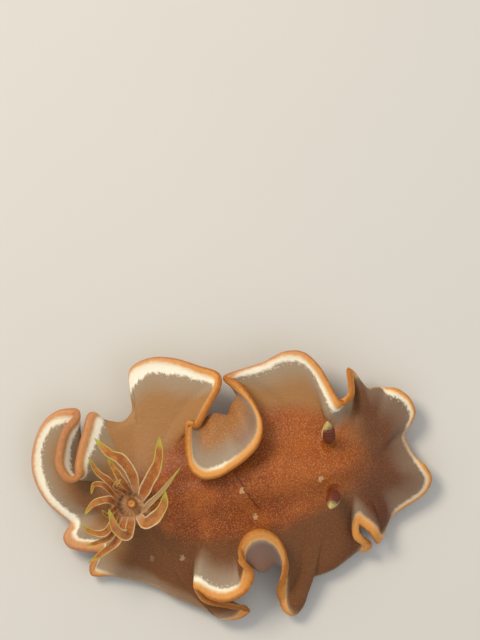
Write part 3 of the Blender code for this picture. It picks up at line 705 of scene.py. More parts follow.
# The rim from the tail's right side, clockwise as seen from above.
RUFFLES = (
    Ruffle("tail_lobe", Fold.OPEN, (1.6, 2.8), (2.6, 2.6), (-0.4, -0.4),
           ((-17.7, -4.3), (-19.1, -3.1), (-20.5, -1.6), (-21.7, 1.1)),
           margin=(0.4, 0.45), band=(0.7, 0.75), tint=(0.8, 0.9)),
    Ruffle("tail_tongue", Fold.HANG, (3.0, 3.8), (0.8, 0.5), (-0.2, 0.2),
           ((-21.7, 3.8), (-20.5, 6.8), (-18.8, 8.1)), TAIL_TONGUE, ((-18.5, -0.7), (-18.3, 0.0)),
           margin=(0.45, 0.75), band=(0.8, 0.8), tint=(0.9, 0.5)),
    Ruffle("tail_tip", Fold.HANG, (4.4, 5.0), (0.08, 0.12), (0.8, 1.3),
           ((-17.0, 8.2), (-17.05, 7.5)), TAIL_FOLD, ((-18.1, 0.1), (-17.8, 0.2)),
           margin=(0.8, 0.9), band=(0.6, 0.4), tint=(0.45, 0.4)),
    Ruffle("tail_fold_rear", Fold.HANG, (5.6, 6.4), (0.13, 0.14), (1.6, 1.7),
           ((-18.2, 6.0), (-18.85, 3.8), (-18.9, 1.9)), TAIL_FOLD, ((-17.5, 0.2), (-16.7, 0.4)),
           margin=(1.05, 1.05), band=(0.9, 0.9), tint=(0.4, 0.35)),
    Ruffle("tail_fold_crest", Fold.HANG, (6.7, 6.6), (0.1, 0.16), (1.8, 1.0),
           ((-17.7, 0.5), (-16.9, 0.8)), TAIL_FOLD, ((-16.2, 0.7), (-15.4, 1.2)),
           margin=(1.1, 1.1), band=(0.7, 0.4), tint=(0.3, 0.3)),
    Ruffle("tail_fold_front", Fold.HANG, (6.4, 4.6), (0.18, 0.2), (0.8, 0.5),
           ((-16.95, 2.0), (-16.7, 3.6), (-16.1, 5.9), (-15.5, 7.8)), TAIL_FOLD,
           margin=(1.0, 0.95), band=(0.5, 0.95), tint=(0.3, 0.45)),
    Ruffle("left_rear_tuck", Fold.TUCK, (2.6, 2.6), (0.3, 0.1), (-2.0, -1.2),
           ((-13.9, 6.7), (-11.8, 6.5), (-10.6, 7.7)),
           margin=(0.2, 0.15), band=(0.0, 0.05), tint=(0.0, 0.4)),
    Ruffle("left_rear_side", Fold.OPEN, (3.2, 3.2), (2.6, 2.6), (-0.4, -0.4),
           ((-11.0, 10.2),),
           margin=(0.2, 0.2), band=(0.15, 0.15), tint=(0.8, 0.8)),
    Ruffle("left_rear_lobe", Fold.OPEN, (3.64, 5.4), (2.52, 2.2), (-0.24, 0.4),
           ((-11.0, 12.6), (-8.9, 13.8), (-6.3, 13.8), (-3.6, 13.0), (-1.35, 12.2)),
           margin=(0.4, 0.8), band=(1.35, 0.5), tint=(0.6, 0.0)),
    Ruffle("left_cup_rear", Fold.OPEN, (6.2, 7.4), (1.6, 0.6), (1.0, 1.8),
           ((-1.15, 11.0), (-2.4, 8.7), (-3.45, 6.8)),
           margin=(0.85, 0.9), band=(0.1, 0.0)),
    Ruffle("left_cup", Fold.HANG, (7.7, 8.9), (0.1, 1.0), (2.0, 2.4),
           ((-4.05, 6.35), (-4.7, 6.5), (-4.9, 5.3), (-4.85, 3.6), (-4.45, 1.8), (-3.2, 0.75)), LEFT_CUP,
           margin=(0.9, 0.95), band=(0.0, 0.15)),
    Ruffle("left_cup_bowl", Fold.HANG, (8.9, 8.7), (1.0, 0.9), (2.4, 2.4),
           ((-1.5, 0.85), (0.1, 1.7), (1.85, 3.0)), LEFT_CUP,
           margin=(0.95, 0.95), band=(0.3, 0.05)),
    Ruffle("left_cup_front", Fold.HANG, (8.5, 5.4), (1.15, 1.5), (2.6, 2.0),
           ((3.05, 4.4), (3.5, 6.2), (3.1, 8.0), (1.95, 9.9), (0.6, 11.3)), LEFT_CUP,
           margin=(0.95, 0.9), band=(0.05, 0.0)),
    Ruffle("left_front_corner", Fold.OPEN, (5.0, 4.6), (0.5, 1.0), (1.0, 0.4),
           ((-0.75, 11.75), (0.7, 12.45)),
           margin=(0.7, 0.3), band=(0.0, 0.5), tint=(0.1, 0.6)),
    Ruffle("left_front_lobe", Fold.OPEN, (4.6, 5.6), (2.2, 2.4), (0.0, 0.2),
           ((3.4, 13.3), (5.8, 14.5), (7.8, 14.5), (9.6, 13.0), (11.8, 9.3)),
           margin=(0.3, 0.9), band=(0.5, 0.45), tint=(0.6, 0.0)),
    Ruffle("left_front_fold", Fold.HANG, (6.2, 5.2), (0.3, 0.1), (1.8, 1.4),
           ((12.4, 8.9), (13.1, 9.7), (13.1, 11.0)), LEFT_POCKET,
           margin=(0.9, 0.8), band=(0.4, 0.1)),
    Ruffle("left_front_tip", Fold.HANG, (4.2, 4.0), (0.1, 0.1), (0.6, -0.2),
           ((12.9, 12.7),), LEFT_POCKET,
           margin=(0.7, 0.7), band=(0.1, 0.1)),
    Ruffle("head_left_tuck", Fold.TUCK, (2.6, 1.8), (0.3, 0.3), (-2.0, -1.8),
           ((13.9, 11.1), (14.8, 10.2), (16.3, 10.3)),
           margin=(0.5, 0.4), band=(0.05, 0.15)),
    Ruffle("head_left_lobe", Fold.OPEN, (2.8, 2.4), (2.4, 2.4), (-0.4, -0.4),
           ((18.0, 10.5), (19.5, 9.5), (20.2, 7.9), (19.8, 6.7)),
           margin=(0.5, 0.45), band=(0.36, 0.16)),
    Ruffle("head_notch", Fold.OPEN, (1.8, 2.0), (2.0, 2.0), (-0.6, -0.6),
           ((19.0, 5.5), (20.1, 3.1)),
           margin=(0.3, 0.3), band=(0.12, 0.16)),
    Ruffle("head_right_lobe", Fold.OPEN, (2.4, 1.7), (2.4, 1.6), (-0.4, -0.6),
           ((21.4, 1.9), (22.0, 0.6), (21.4, -0.9), (18.5, -2.95)),
           margin=(0.6, 0.4), band=(0.2, 0.15)),
    Ruffle("head_right_tuck", Fold.TUCK, (1.3, 1.5), (0.0, 0.2), (-0.9, -1.2),
           ((17.1, -4.0), (16.5, -5.3)),
           margin=(0.35, 0.7), band=(0.05, 0.0)),
    Ruffle("front_curl_lip", Fold.HANG, (2.3, 3.5), (0.08, 0.11), (-0.8, -0.8),
           ((15.9, -6.45), (15.3, -5.5)), CURL_RIGHT,
           margin=(1.1, 1.1), band=(0.0, 0.08)),
    Ruffle("front_curl", Fold.HANG, (3.6, 3.7), (0.12, 0.12), (-0.8, -0.8),
           ((14.6, -4.75), (13.95, -4.5), (13.7, -4.85)), CURL_TOP,
           margin=(1.25, 1.5), band=(0.1, 0.12)),
    Ruffle("front_curl_rear", Fold.HANG, (3.6, 2.6), (0.2, 0.2), (-0.9, -0.9),
           ((14.4, -5.6), (15.4, -6.5)), CURL_LEFT,
           margin=(1.6, 1.7), band=(0.12, 0.1)),
    Ruffle("front_curl_end", Fold.HANG, (1.8, 1.3), (0.1, 0.05), (-1.0, -1.2),
           ((15.1, -7.1), (13.8, -7.25)), CURL_END,
           margin=(1.2, 0.3), band=(0.0, 0.0), tint=(0.0, -0.5)),
    Ruffle("right_front_tuck", Fold.TUCK, (1.2, 1.2), (0.3, 0.1), (-1.4, -1.3),
           ((12.8, -7.9), (11.0, -9.2), (9.7, -9.75), (8.65, -10.1)),
           margin=(0.4, 0.3), band=(0.0, 0.0), tint=(-1.0, -1.0)),
    Ruffle("right_tongue", Fold.TUCK, (1.2, 1.1), (0.1, 0.2), (-1.3, -1.2),
           ((8.0, -11.0), (7.93, -12.4), (7.4, -13.7)),
           margin=(0.15, 0.25), band=(0.0, 0.0), tint=(-1.0, -0.8)),
    Ruffle("right_tongue_tip", Fold.TUCK, (1.2, 1.4), (0.2, 0.2), (-1.2, -0.9),
           ((6.75, -14.3), (5.9, -13.9)),
           margin=(0.5, 0.9), band=(0.0, 0.0), tint=(-0.4, 0.0)),
    Ruffle("right_arch_front", Fold.HANG, (1.9, 3.2), (0.16, 0.16), (-0.3, 0.4),
           ((5.3, -12.9), (5.0, -11.7)), TONGUE_SIDE,
           margin=(1.1, 1.3), band=(0.0, 0.0)),
    Ruffle("right_arch", Fold.HANG, (4.8, 7.3), (0.35, 0.8), (1.6, 2.4),
           ((5.85, -10.0), (6.15, -8.2), (5.75, -6.6), (4.65, -5.2), (3.05, -4.65)), RIGHT_ARCH,
           margin=(1.25, 1.25), band=(0.0, 0.0)),
    Ruffle("right_arch_side", Fold.HANG, (7.3, 7.2), (0.85, 0.6), (2.4, 2.4),
           ((1.7, -5.2), (0.95, -6.6)), RIGHT_ARCH,
           margin=(1.3, 1.4), band=(0.0, 0.0)),
    Ruffle("right_arch_rear", Fold.HANG, (7.0, 5.6), (0.34, 0.3), (0.5, 0.2),
           ((1.6, -8.2), (2.55, -9.5), (2.25, -11.0)), SHELF_SIDE,
           margin=(1.5, 1.4), band=(0.0, 0.0)),
    Ruffle("right_shelf", Fold.OPEN, (5.4, 4.6), (1.4, 2.0), (0.5, 0.2),
           ((1.1, -12.2), (-0.6, -12.8), (-2.3, -12.5), (-3.6, -11.5)),
           margin=(1.1, 0.9), band=(0.2, 0.6)),
    Ruffle("right_return", Fold.HANG, (3.4, 2.8), (0.25, 0.25), (0.6, 0.2),
           ((-2.5, -12.75), (0.4, -13.5)), RIGHT_TONGUE, ((-4.2, -8.9), (-5.3, -9.2)),
           margin=(1.3, 1.4), band=(0.1, 0.0)),
    Ruffle("right_rear_tip", Fold.HANG, (2.4, 1.8), (0.25, 0.25), (0.2, 0.0),
           ((2.1, -13.9), (1.2, -14.7), (-0.5, -14.9)), RIGHT_TONGUE, ((-6.2, -9.3), (-7.4, -9.6)),
           margin=(1.2, 0.4), band=(0.0, 0.1), tint=(0.0, -0.5)),
    Ruffle("right_rear_lobe", Fold.OPEN, (1.5, 1.3), (2.6, 2.6), (-0.6, -0.6),
           ((-3.3, -13.7), (-6.2, -12.5), (-8.4, -11.3), (-12.9, -10.2)),
           margin=(0.15, 0.2), band=(0.07, 0.1), tint=(-0.5, -0.5)),
    Ruffle("rear_notch", Fold.OPEN, (1.4, 2.4), (1.8, 1.2), (0.0, 0.6),
           ((-15.3, -10.1), (-15.5, -9.2), (-15.0, -8.2), (-14.5, -7.6)),
           margin=(0.9, 1.4), band=(0.2, 0.3), tint=(0.2, 0.35)),
    Ruffle("rear_lobe", Fold.OPEN, (2.2, 1.6), (1.6, 2.0), (0.4, -0.4),
           ((-16.4, -7.4), (-17.9, -6.9), (-18.4, -5.9), (-18.0, -5.0)),
           margin=(1.3, 1.0), band=(0.4, 0.5), tint=(0.45, 0.6)),
)


@dataclass(frozen=True)
class Trunk:
    """The body's lines that the mantle grows from, as in the solids."""

    centre_x: float = 0.8
    half_length: float = 14.4
    half_width: float = 4.5
    oval_power: float = 0.85
    spine_bend: float = 2.0
    spine_reach: float = 15.0
    ring_height: float = 4.4
    ring_fall: float = 1.2
    crest_top: float = 6.7
    crest_fall: float = 1.3
    spine_share: float = 0.72
    slope: float = 0.16
    skin: float = 0.5        # from the mantle's middle surface up to the back's skin

    def spine_y(self, x: np.ndarray) -> np.ndarray:
        """Sideways place of the body's middle line at x."""
        return self.spine_bend * np.sin(np.pi / 2 * np.clip(x / self.spine_reach, -1.0, 1.0))

    def _fallen(self, top: float, fall: float, x: np.ndarray) -> np.ndarray:
        """Height that falls from the top with the square of the distance from the middle."""
        return top - fall * ((x - self.centre_x) / self.half_length) ** 2

    def root_height(self, x: np.ndarray) -> np.ndarray:
        """Height of the root ring at x."""
        return self._fallen(self.ring_height, self.ring_fall, x)

    def crest_height(self, x: np.ndarray) -> np.ndarray:
        """Height of the back's crest at x."""
        return self._fallen(self.crest_top, self.crest_fall, x)

    def ring(self, angle: np.ndarray) -> np.ndarray:
        """The root ring, where the mantle leaves the body.

        An oval bent along the middle line, with a power of the cosine and sine that makes it
        fuller.

        Args:
            angle: the turn round the body, 0 at the head.

        Returns:
            Points on the ring.
        """
        cos, sin = np.cos(angle), np.sin(angle)
        x = self.centre_x + self.half_length * np.sign(cos) * np.abs(cos) ** self.oval_power
        y = self.half_width * np.sign(sin) * np.abs(sin) ** self.oval_power
        return np.stack([x, y + self.spine_y(x), self.root_height(x)], axis=-1)

    def outward(self, angle: np.ndarray) -> np.ndarray:
        """Level direction away from the body, square to the root ring."""
        along = self.ring(angle + 1e-3) - self.ring(angle - 1e-3)
        return unit(level(np.cross(along, [0.0, 0.0, 1.0])))

    def spine(self, x: np.ndarray, height: np.ndarray | float) -> np.ndarray:
        """Points of the middle line at x and this height."""
        return np.stack([x, self.spine_y(x), np.zeros_like(x) + height], axis=-1)


class Mantle:
    """The mantle's middle surface: columns run from the root ring to the rim."""

    LOWEST = 1.2         # no point that a column heads for lies lower
    LIFT = 0.3           # how much of the way to the rim's height is made near the root

    def __init__(self, trunk: Trunk):
        """Work out the rim's stations and what their columns head for.

        Args:
            trunk: the body that it grows from.
        """
        self.trunk = trunk
        self.rim, offset = self._stations()
        steps = np.sqrt(np.linalg.norm(np.roll(self.rim, -1, axis=0) - self.rim, axis=1))
        self.knots = np.concatenate([[0.0], np.cumsum(steps)])
        fine = np.linspace(0.0, self.knots[-1], 2000, endpoint=False)
        angles = self._root_angles(self.spline(self.rim, fine))
        self.fine = np.append(fine, self.knots[-1])
        self.fine_angles = np.append(angles, angles[0] - 2 * np.pi)
        self.before_rim = self.rim + offset
        self.before_rim[:, 2] = np.maximum(self.before_rim[:, 2], self.LOWEST)
        self.after_root = self._leaving_points(self.angle_at(self.knots[:-1]))

    def _stations(self) -> tuple[np.ndarray, np.ndarray]:
        """The points that the ruffles' paths give the rim.

        Returns:
            The rim's points and, for each, the offset to where the sheet comes from.
        """
        rows = []
        for ruffle in RUFFLES:
            last = max(1, len(ruffle.path) - 1)
            rows += [(x, y, ruffle, i / last) for i, (x, y) in enumerate(ruffle.path)]
        rim = np.array([(x, y, lerp(ruffle.height, share)) for x, y, ruffle, share in rows])
        along = unit(level(np.roll(rim, -1, axis=0) - np.roll(rim, 1, axis=0)))
        inward = np.stack([along[:, 1], -along[:, 0], 0 * along[:, 0]], axis=-1)
        middle_x = np.clip(0.8 * rim[:, 0], -12.0, 12.0)
        to_body = unit(level(self.trunk.spine(middle_x, 0.0) - rim))
        offset = np.zeros_like(rim)
        for i, (x, y, ruffle, share) in enumerate(rows):
            reach = lerp(ruffle.reach, share)
            if ruffle.fold is Fold.OPEN:
                offset[i] = reach * unit(0.4 * inward[i] + 0.6 * to_body[i])
            elif ruffle.fold is Fold.TUCK:
                offset[i] = -reach * to_body[i]
            else:
                offset[i] = reach * np.array([ruffle.aim[0] - x, ruffle.aim[1] - y, 0.0])
            offset[i, 2] -= lerp(ruffle.drop, share)
        return rim, offset

    def _leaving_points(self, angle: np.ndarray) -> np.ndarray:
        """Where each station's column heads for as it leaves the root ring.

        Out from the body by a stride that grows with the sheet's length.

        Args:
            angle: each station's angle on the root ring.

        Returns:
            One point for each station.
        """
        root = self.trunk.ring(angle)
        way = level(self.before_rim - root)
        stride = 1.2 + 0.45 * np.linalg.norm(way, axis=1)[:, None]
        points = root + stride * unit(0.6 * self.trunk.outward(angle) + 0.4 * unit(way))
        vias = [lerp(np.array(ruffle.via), share) if ruffle.via else None
                for ruffle in RUFFLES for share in np.linspace(0.0, 1.0, len(ruffle.path))]
        for i, via in enumerate(vias):
            if via is not None:
                points[i, :2] = via
        rise = self.before_rim[:, 2] - root[:, 2]
        points[:, 2] = root[:, 2] - self.trunk.slope * stride[:, 0] + self.LIFT * rise
        return points

    def _root_angles(self, curve: np.ndarray) -> np.ndarray:
        """Angle on the root ring for each rim point.

        That of the rim without its ruffles, which is what its lowest three harmonics keep.

        Args:
            curve: points along the whole rim.

        Returns:
            The angles, without jumps.
        """
        plan = ((curve[:, 0] - self.trunk.centre_x) / self.trunk.half_length
                + 1j * (curve[:, 1] - self.trunk.spine_y(curve[:, 0])) / (2.6 * self.trunk.half_width))
        waves = np.fft.fft(plan)
        kept = np.zeros_like(waves)
        for harmonic in (-3, -2, -1, 0, 1, 2, 3):
            kept[harmonic] = waves[harmonic] * (1.0 if abs(harmonic) < 2 else 0.5)
        return np.unwrap(np.angle(np.fft.ifft(kept)))

    def angle_at(self, at: np.ndarray) -> np.ndarray:
        """Root angle at these curve parameters."""
        return np.interp(np.mod(at, self.knots[-1]), self.fine, self.fine_angles)

    def at_angle(self, angle: float) -> float:
        """Curve parameter where the root angle is this one, give or take full turns."""
        turned = self.fine_angles[0] - np.mod(self.fine_angles[0] - angle, 2 * np.pi)
        return float(np.interp(-turned, -self.fine_angles, self.fine))

    def spline(self, values: np.ndarray, at: np.ndarray) -> np.ndarray:
        """Smooth closed curve through one value for each station.

        The slope at a station is the mean of the slopes before and after it, each weighed by
        the other's length, and a cubic runs between stations.

        Args:
            values: one row for each station.
            at: parameters along the rim.

        Returns:
            One row for each parameter.
        """
        at = np.mod(at, self.knots[-1])
        left = np.clip(np.searchsorted(self.knots, at, side="right") - 1, 0, len(values) - 1)
        right = (left + 1) % len(values)
        gaps = np.diff(self.knots)[:, None]
        before = np.roll(gaps, 1, axis=0)
        rise_before = (values - np.roll(values, 1, axis=0)) / before
        rise_after = (np.roll(values, -1, axis=0) - values) / gaps
        slope = (rise_before * gaps + rise_after * before) / (gaps + before)
        s = ((at - self.knots[left]) / gaps[left, 0])[:, None]
        return ((2 * s**3 - 3 * s**2 + 1) * values[left] + (s**3 - 2 * s**2 + s) * slope[left] * gaps[left]
                + (3 * s**2 - 2 * s**3) * values[right] + (s**3 - s**2) * slope[right] * gaps[left])

    def marking(self, key: str, at: np.ndarray) -> np.ndarray:
        """Width or tint of a marking along the rim, no less than the least of the ruffles' own.

        Args:
            key: the ruffles' field.
            at: parameters along the rim.

        Returns:
            One value for each parameter.
        """
        values = np.array([lerp(getattr(ruffle, key), share)
                           for ruffle in RUFFLES for share in np.linspace(0.0, 1.0, len(ruffle.path))])
        return np.maximum(self.spline(values[:, None], at)[:, 0], values.min())

    def surface(self, at: np.ndarray, rows: int) -> np.ndarray:
        """The middle surface, a cubic Bezier curve in each column.

        Args:
            at: one parameter for each column.
            rows: points in a column.

        Returns:
            Points [row, column] from the root ring to the rim.
        """
        root = self.trunk.ring(self.angle_at(at))
        lines = (self.spline(values, at) for values in (self.after_root, self.before_rim, self.rim))
        return bezier(root, *lines, np.linspace(0.0, 1.0, rows)[:, None, None])


class Skin:
    """One skin over the whole animal: back, mantle, body side and foot."""

    COLUMNS = 660
    SHEET_ROWS = 52
    DOME_ROWS = 22
    FINE_ROWS = 90       # points in a column before its rows are spaced anew
    ROUND = 0.36         # radius of the rim's rounded edge
    ROW_GROWTH = 1.45    # rows crowd toward the rim
    WARM_CENTRE = (2.3, 0.9)
    WARM_RADII = (15.8, 8.9)
    CREASE_PASSES = 120
    SEAM_PASSES = 24
    SEAM_ROWS = 7.0      # how far from the root ring the seam with the back is smoothed
    FREE_ROWS = 16       # rows next to the rim that the seam's smoothing leaves alone
    # Places where the sheet is smoothed, and places of the low walls on the back:
    # the centre, the radius and, for a wall, its height.
    CREASES = (((-6.7, -8.4), 2.4), ((-10.4, 5.0), 2.4))
    GILL_POCKET = ((-11.0, -2.2), 2.6, 0.25)
    SHEATHS = (((10.7, 4.5), 0.9, 0.18), ((11.35, -0.75), 0.9, 0.18))

    def __init__(self, trunk: Trunk, mantle: Mantle):
        """Choose the columns, so that one runs to the head and one to the tail.

        Args:
            trunk: the body.
            mantle: the sheet round it.
        """
        self.trunk = trunk
        self.mantle = mantle
        head, tail = mantle.at_angle(0.0), mantle.at_angle(-np.pi)
        total = mantle.knots[-1]
        half = self.COLUMNS // 2
        right = head + np.linspace(0.0, np.mod(tail - head, total), half, endpoint=False)
        left = tail + np.linspace(0.0, np.mod(head - tail, total), half, endpoint=False)
        self.at = np.concatenate([right, left])
        self.angle = mantle.angle_at(self.at)

    def spine_x(self) -> np.ndarray:
        """Place of each column on the crest, the same for a column and its mirror.

        The mean of the pair's places on the root ring, drawn toward the middle.

        Returns:
            One x for each column.
        """
        ring_x = self.trunk.ring(self.angle)[:, 0]
        mirror = (-np.arange(self.COLUMNS)) % self.COLUMNS
        mean = 0.5 * (ring_x + ring_x[mirror])
        return self.trunk.centre_x + self.trunk.spine_share * (mean - self.trunk.centre_x)

    def respaced(self, surface: np.ndarray) -> tuple[np.ndarray, np.ndarray]:
        """Rows at set shares of each column's length, closer toward the rim.

        Args:
            surface: points [row, column].

        Returns:
            The new points, and their distance to the rim.
        """
        steps = np.linalg.norm(np.diff(surface, axis=0), axis=2)
        travelled = np.concatenate([np.zeros((1, surface.shape[1])), np.cumsum(steps, axis=0)])
        share = (1.0 - np.linspace(0.0, 1.0, self.SHEET_ROWS)) ** self.ROW_GROWTH
        to_rim = share[:, None] * travelled[-1]
        points = np.empty((self.SHEET_ROWS, surface.shape[1], 3))
        for column in range(surface.shape[1]):
            place = travelled[-1, column] - to_rim[:, column]
            for axis in range(3):
                points[:, column, axis] = np.interp(place, travelled[:, column], surface[:, column, axis])
        return points, to_rim

    @staticmethod
    def normals(points: np.ndarray) -> np.ndarray:
        """Normals of a grid whose columns close, on the side of the upper face."""
        across = np.roll(points, -1, axis=1) - np.roll(points, 1, axis=1)
        return unit(np.cross(across, np.gradient(points, axis=0)))

    def half_thickness(self, to_rim: np.ndarray) -> np.ndarray:
        """Half the sheet's thickness: a bead at the rim, a neck, then thicker to the root.

        A bell curve makes the bead, a square of the share the rest, and a circle rounds the
        edge.

        Args:
            to_rim: distance to the rim.

        Returns:
            The half thickness at each point.
        """
        share = np.clip(to_rim / to_rim[:1], 0.0, 1.0)
        bead = 0.12 * np.exp(-(((to_rim - 0.5) / 0.5) ** 2))
        edge = np.clip(1.0 - to_rim / self.ROUND, 0.0, 1.0)
        return (0.24 + 0.24 * share**2 + bead) * np.sqrt(1.0 - edge**2)

    def dome(self) -> np.ndarray:
        """Rows of the back, a cubic Bezier curve in each column, as in the solids.

        Returns:
            Points [row, column] from the crest to the root ring.
        """
        trunk = self.trunk
        x = self.spine_x()
        crest = trunk.spine(x, trunk.crest_height(x))
        root = trunk.ring(self.angle)
        root[:, 2] += trunk.skin
        span = np.linalg.norm(level(root - crest), axis=1)[:, None]
        after = crest + 0.5 * level(root - crest)
        before = root - 0.35 * span * trunk.outward(self.angle)
        before[:, 2] = root[:, 2] + trunk.slope * 0.35 * span[:, 0]
        return bezier(crest, after, before, root, np.linspace(0.0, 1.0, self.DOME_ROWS)[:, None, None])

    def raised(self, points: np.ndarray) -> np.ndarray:
        """The back with the low walls round the gill and the rhinophores.

        Each is a ring with a bell curve for its section.

        Args:
            points: the back's points.

        Returns:
            The raised points.
        """
        points = points.copy()
        for (x, y), radius, height in (self.GILL_POCKET, *self.SHEATHS):
            away = np.hypot(points[..., 0] - x, points[..., 1] - y)
            width = 0.28 + 0.04 * radius
            points[..., 2] += height * np.exp(-(((away - radius) / width) ** 2))
        return points

    def under_rows(self, last: np.ndarray) -> list[np.ndarray]:
        """Rows from the mantle's root under the body side and round the foot to the sole.

        Args:
            last: the row that they start from.

        Returns:
            The rows, which end on the middle line.
        """
        trunk = self.trunk
        x = self.spine_x()
        ring = trunk.ring(self.angle)
        spine = trunk.spine(x, 0.0)

        def drawn_in(share: float, height: float | np.ndarray) -> np.ndarray:
            """The root ring, drawn toward the middle line and set to a height.

            Args:
                share: how far it is drawn in.
                height: its height.

            Returns:
                One row of points.
            """
            row = lerp((ring, spine), share)
            row[:, 2] = height
            return row

        side = ring[:, 2] - trunk.skin
        key_rows = [last, drawn_in(0.2, side - 0.35), drawn_in(0.25, 0.55 * side), drawn_in(0.26, 1.2),
                    drawn_in(0.2, 0.62), drawn_in(0.22, 0.22), drawn_in(0.28, 0.0)]
        keys = np.array(key_rows)
        rows = []
        for i in range(len(keys) - 1):
            a, b, c, d = (keys[min(max(i + k, 0), len(keys) - 1)] for k in (-1, 0, 1, 2))
            rows += [passing(a, b, c, d, s) for s in np.linspace(0.0, 1.0, 5)[1:]]
        rows[-1][:, 2] = 0.0
        return rows + [drawn_in(0.6, 0.0), spine]

    def relaxed(self, grid: np.ndarray, strength: np.ndarray, passes: int) -> np.ndarray:
        """Grid whose points move toward the mean of their four neighbours.

        Args:
            grid: points whose columns close.
            strength: how far each point moves.
            passes: how often.

        Returns:
            The smoothed grid.
        """
        for _ in range(passes):
            mean = grid.copy()
            mean[1:-1] = 0.25 * (grid[2:] + grid[:-2] + np.roll(grid, 1, axis=1)[1:-1]
                                 + np.roll(grid, -1, axis=1)[1:-1])
            grid = grid + strength[..., None] * (mean - grid)
        return grid

    def crease_strength(self, middle: np.ndarray, to_rim: np.ndarray) -> np.ndarray:
        """How much each point of the sheet is smoothed.

        Most in the middle of a crease, and nothing at the rim.

        Args:
            middle: the middle surface.
            to_rim: distance to the rim.

        Returns:
            A share for each point.
        """
        strength = np.zeros(to_rim.shape)
        for (x, y), radius in self.CREASES:
            away = np.hypot(middle[..., 0] - x, middle[..., 1] - y)
            strength = np.maximum(strength, 1.0 - smooth_step(0.4, 1.0, away / radius))
        return 0.9 * strength * smooth_step(0.6, 1.6, to_rim)

    def build(self, material: bpy.types.Material) -> bpy.types.Object:
        """The skin, with the attributes that its markings are read from.

        Args:
            material: its finish.

        Returns:
            The object, which sits at the origin.
        """
        middle, to_rim = self.respaced(self.mantle.surface(self.at, self.FINE_ROWS))
        middle = self.relaxed(middle, self.crease_strength(middle, to_rim), self.CREASE_PASSES)
        normals = self.normals(middle)
        half = self.half_thickness(to_rim)[:, :, None]
        upper, lower = middle + half * normals, middle - half * normals
        dome = self.dome()
        top = np.concatenate([dome[:-1], upper[1:]])
        row = np.arange(len(top))
        strength = 0.9 * np.exp(-(((row - self.DOME_ROWS) / self.SEAM_ROWS) ** 2))
        strength[-self.FREE_ROWS:] = 0.0
        top = self.relaxed(top, strength[:, None], self.SEAM_PASSES)
        top[:self.DOME_ROWS + 8] = self.raised(top[:self.DOME_ROWS + 8])
        below = [*lower[1:-1][::-1], *self.under_rows(lower[1])]
        points = np.concatenate([top, np.array(below)])

        dome_count = self.DOME_ROWS - 1
        back = np.linalg.norm(np.diff(dome, axis=0), axis=2)
        dome_rim = to_rim[0] + np.cumsum(back[::-1], axis=0)[::-1]
        under_count = len(below) - (self.SHEET_ROWS - 2)
        rim = np.concatenate([dome_rim[:dome_count], to_rim[1:], to_rim[1:-1][::-1],
                              np.tile(to_rim[0] + 2.0, (under_count, 1))])
        under = np.zeros(rim.shape)
        under[dome_count + self.SHEET_ROWS - 1:] = 1.0
        attributes = {"rim_distance": rim, "under": under, "warmth": self.warmth(points, rim),
                      "rim_circle": self.rim_circle(rim)}
        for key in ("margin", "band", "tint"):
            attributes[key] = np.broadcast_to(self.mantle.marking(key, self.at), rim.shape)
        flat = {key: value.reshape(-1, 3) if value.ndim == 3 else value.ravel()
                for key, value in attributes.items()}
        faces = grid_faces(*points.shape[:2], True)
        return Builder.mesh_object("slug_skin", points, faces, material, flat, weld=0.001)

    def warmth(self, points: np.ndarray, rim: np.ndarray) -> np.ndarray:
        """How orange the back is.

        Most inside an oval on the back, fading out toward its outline and near the rim.

        Args:
            points: the skin's points.
            rim: their distance to the rim.

        Returns:
            A share for each point.
        """
        x, y = points[..., 0], points[..., 1] - self.trunk.spine_y(points[..., 0])
        (cx, cy), (rx, ry) = self.WARM_CENTRE, self.WARM_RADII
        warmth = 1.0 - smooth_step(0.45, 1.0, np.hypot((x - cx) / rx, (y - cy) / ry))
        return warmth * (1.0 - smooth_step(-0.5, 1.5, -(rim - 1.5)) * 0.8)

    def rim_circle(self, rim: np.ndarray) -> np.ndarray:
        """The rim laid out as a circle of its own length, which noise on the markings is read from.

        Args:
            rim: distance to the rim.

        Returns:
            One vector for each point, with the distance as its height.
        """
        line = self.mantle.spline(self.mantle.rim, self.at)
        steps = np.linalg.norm(np.roll(line, -1, axis=0) - line, axis=1)
        turn = 2 * np.pi * np.cumsum(np.r_[0.0, steps[:-1]]) / steps.sum()
        circle = steps.sum() / (2 * np.pi)
        return np.stack([np.broadcast_to(circle * np.cos(turn), rim.shape),
                         np.broadcast_to(circle * np.sin(turn), rim.shape), 0.4 * rim], axis=-1)

    def back_height(self, x: float, y: float) -> float:
        """Height of the back's skin above the place (x, y)."""
        rows = self.dome().reshape(-1, 3)
        return float(rows[np.argmin(np.hypot(rows[:, 0] - x, rows[:, 1] - y)), 2])


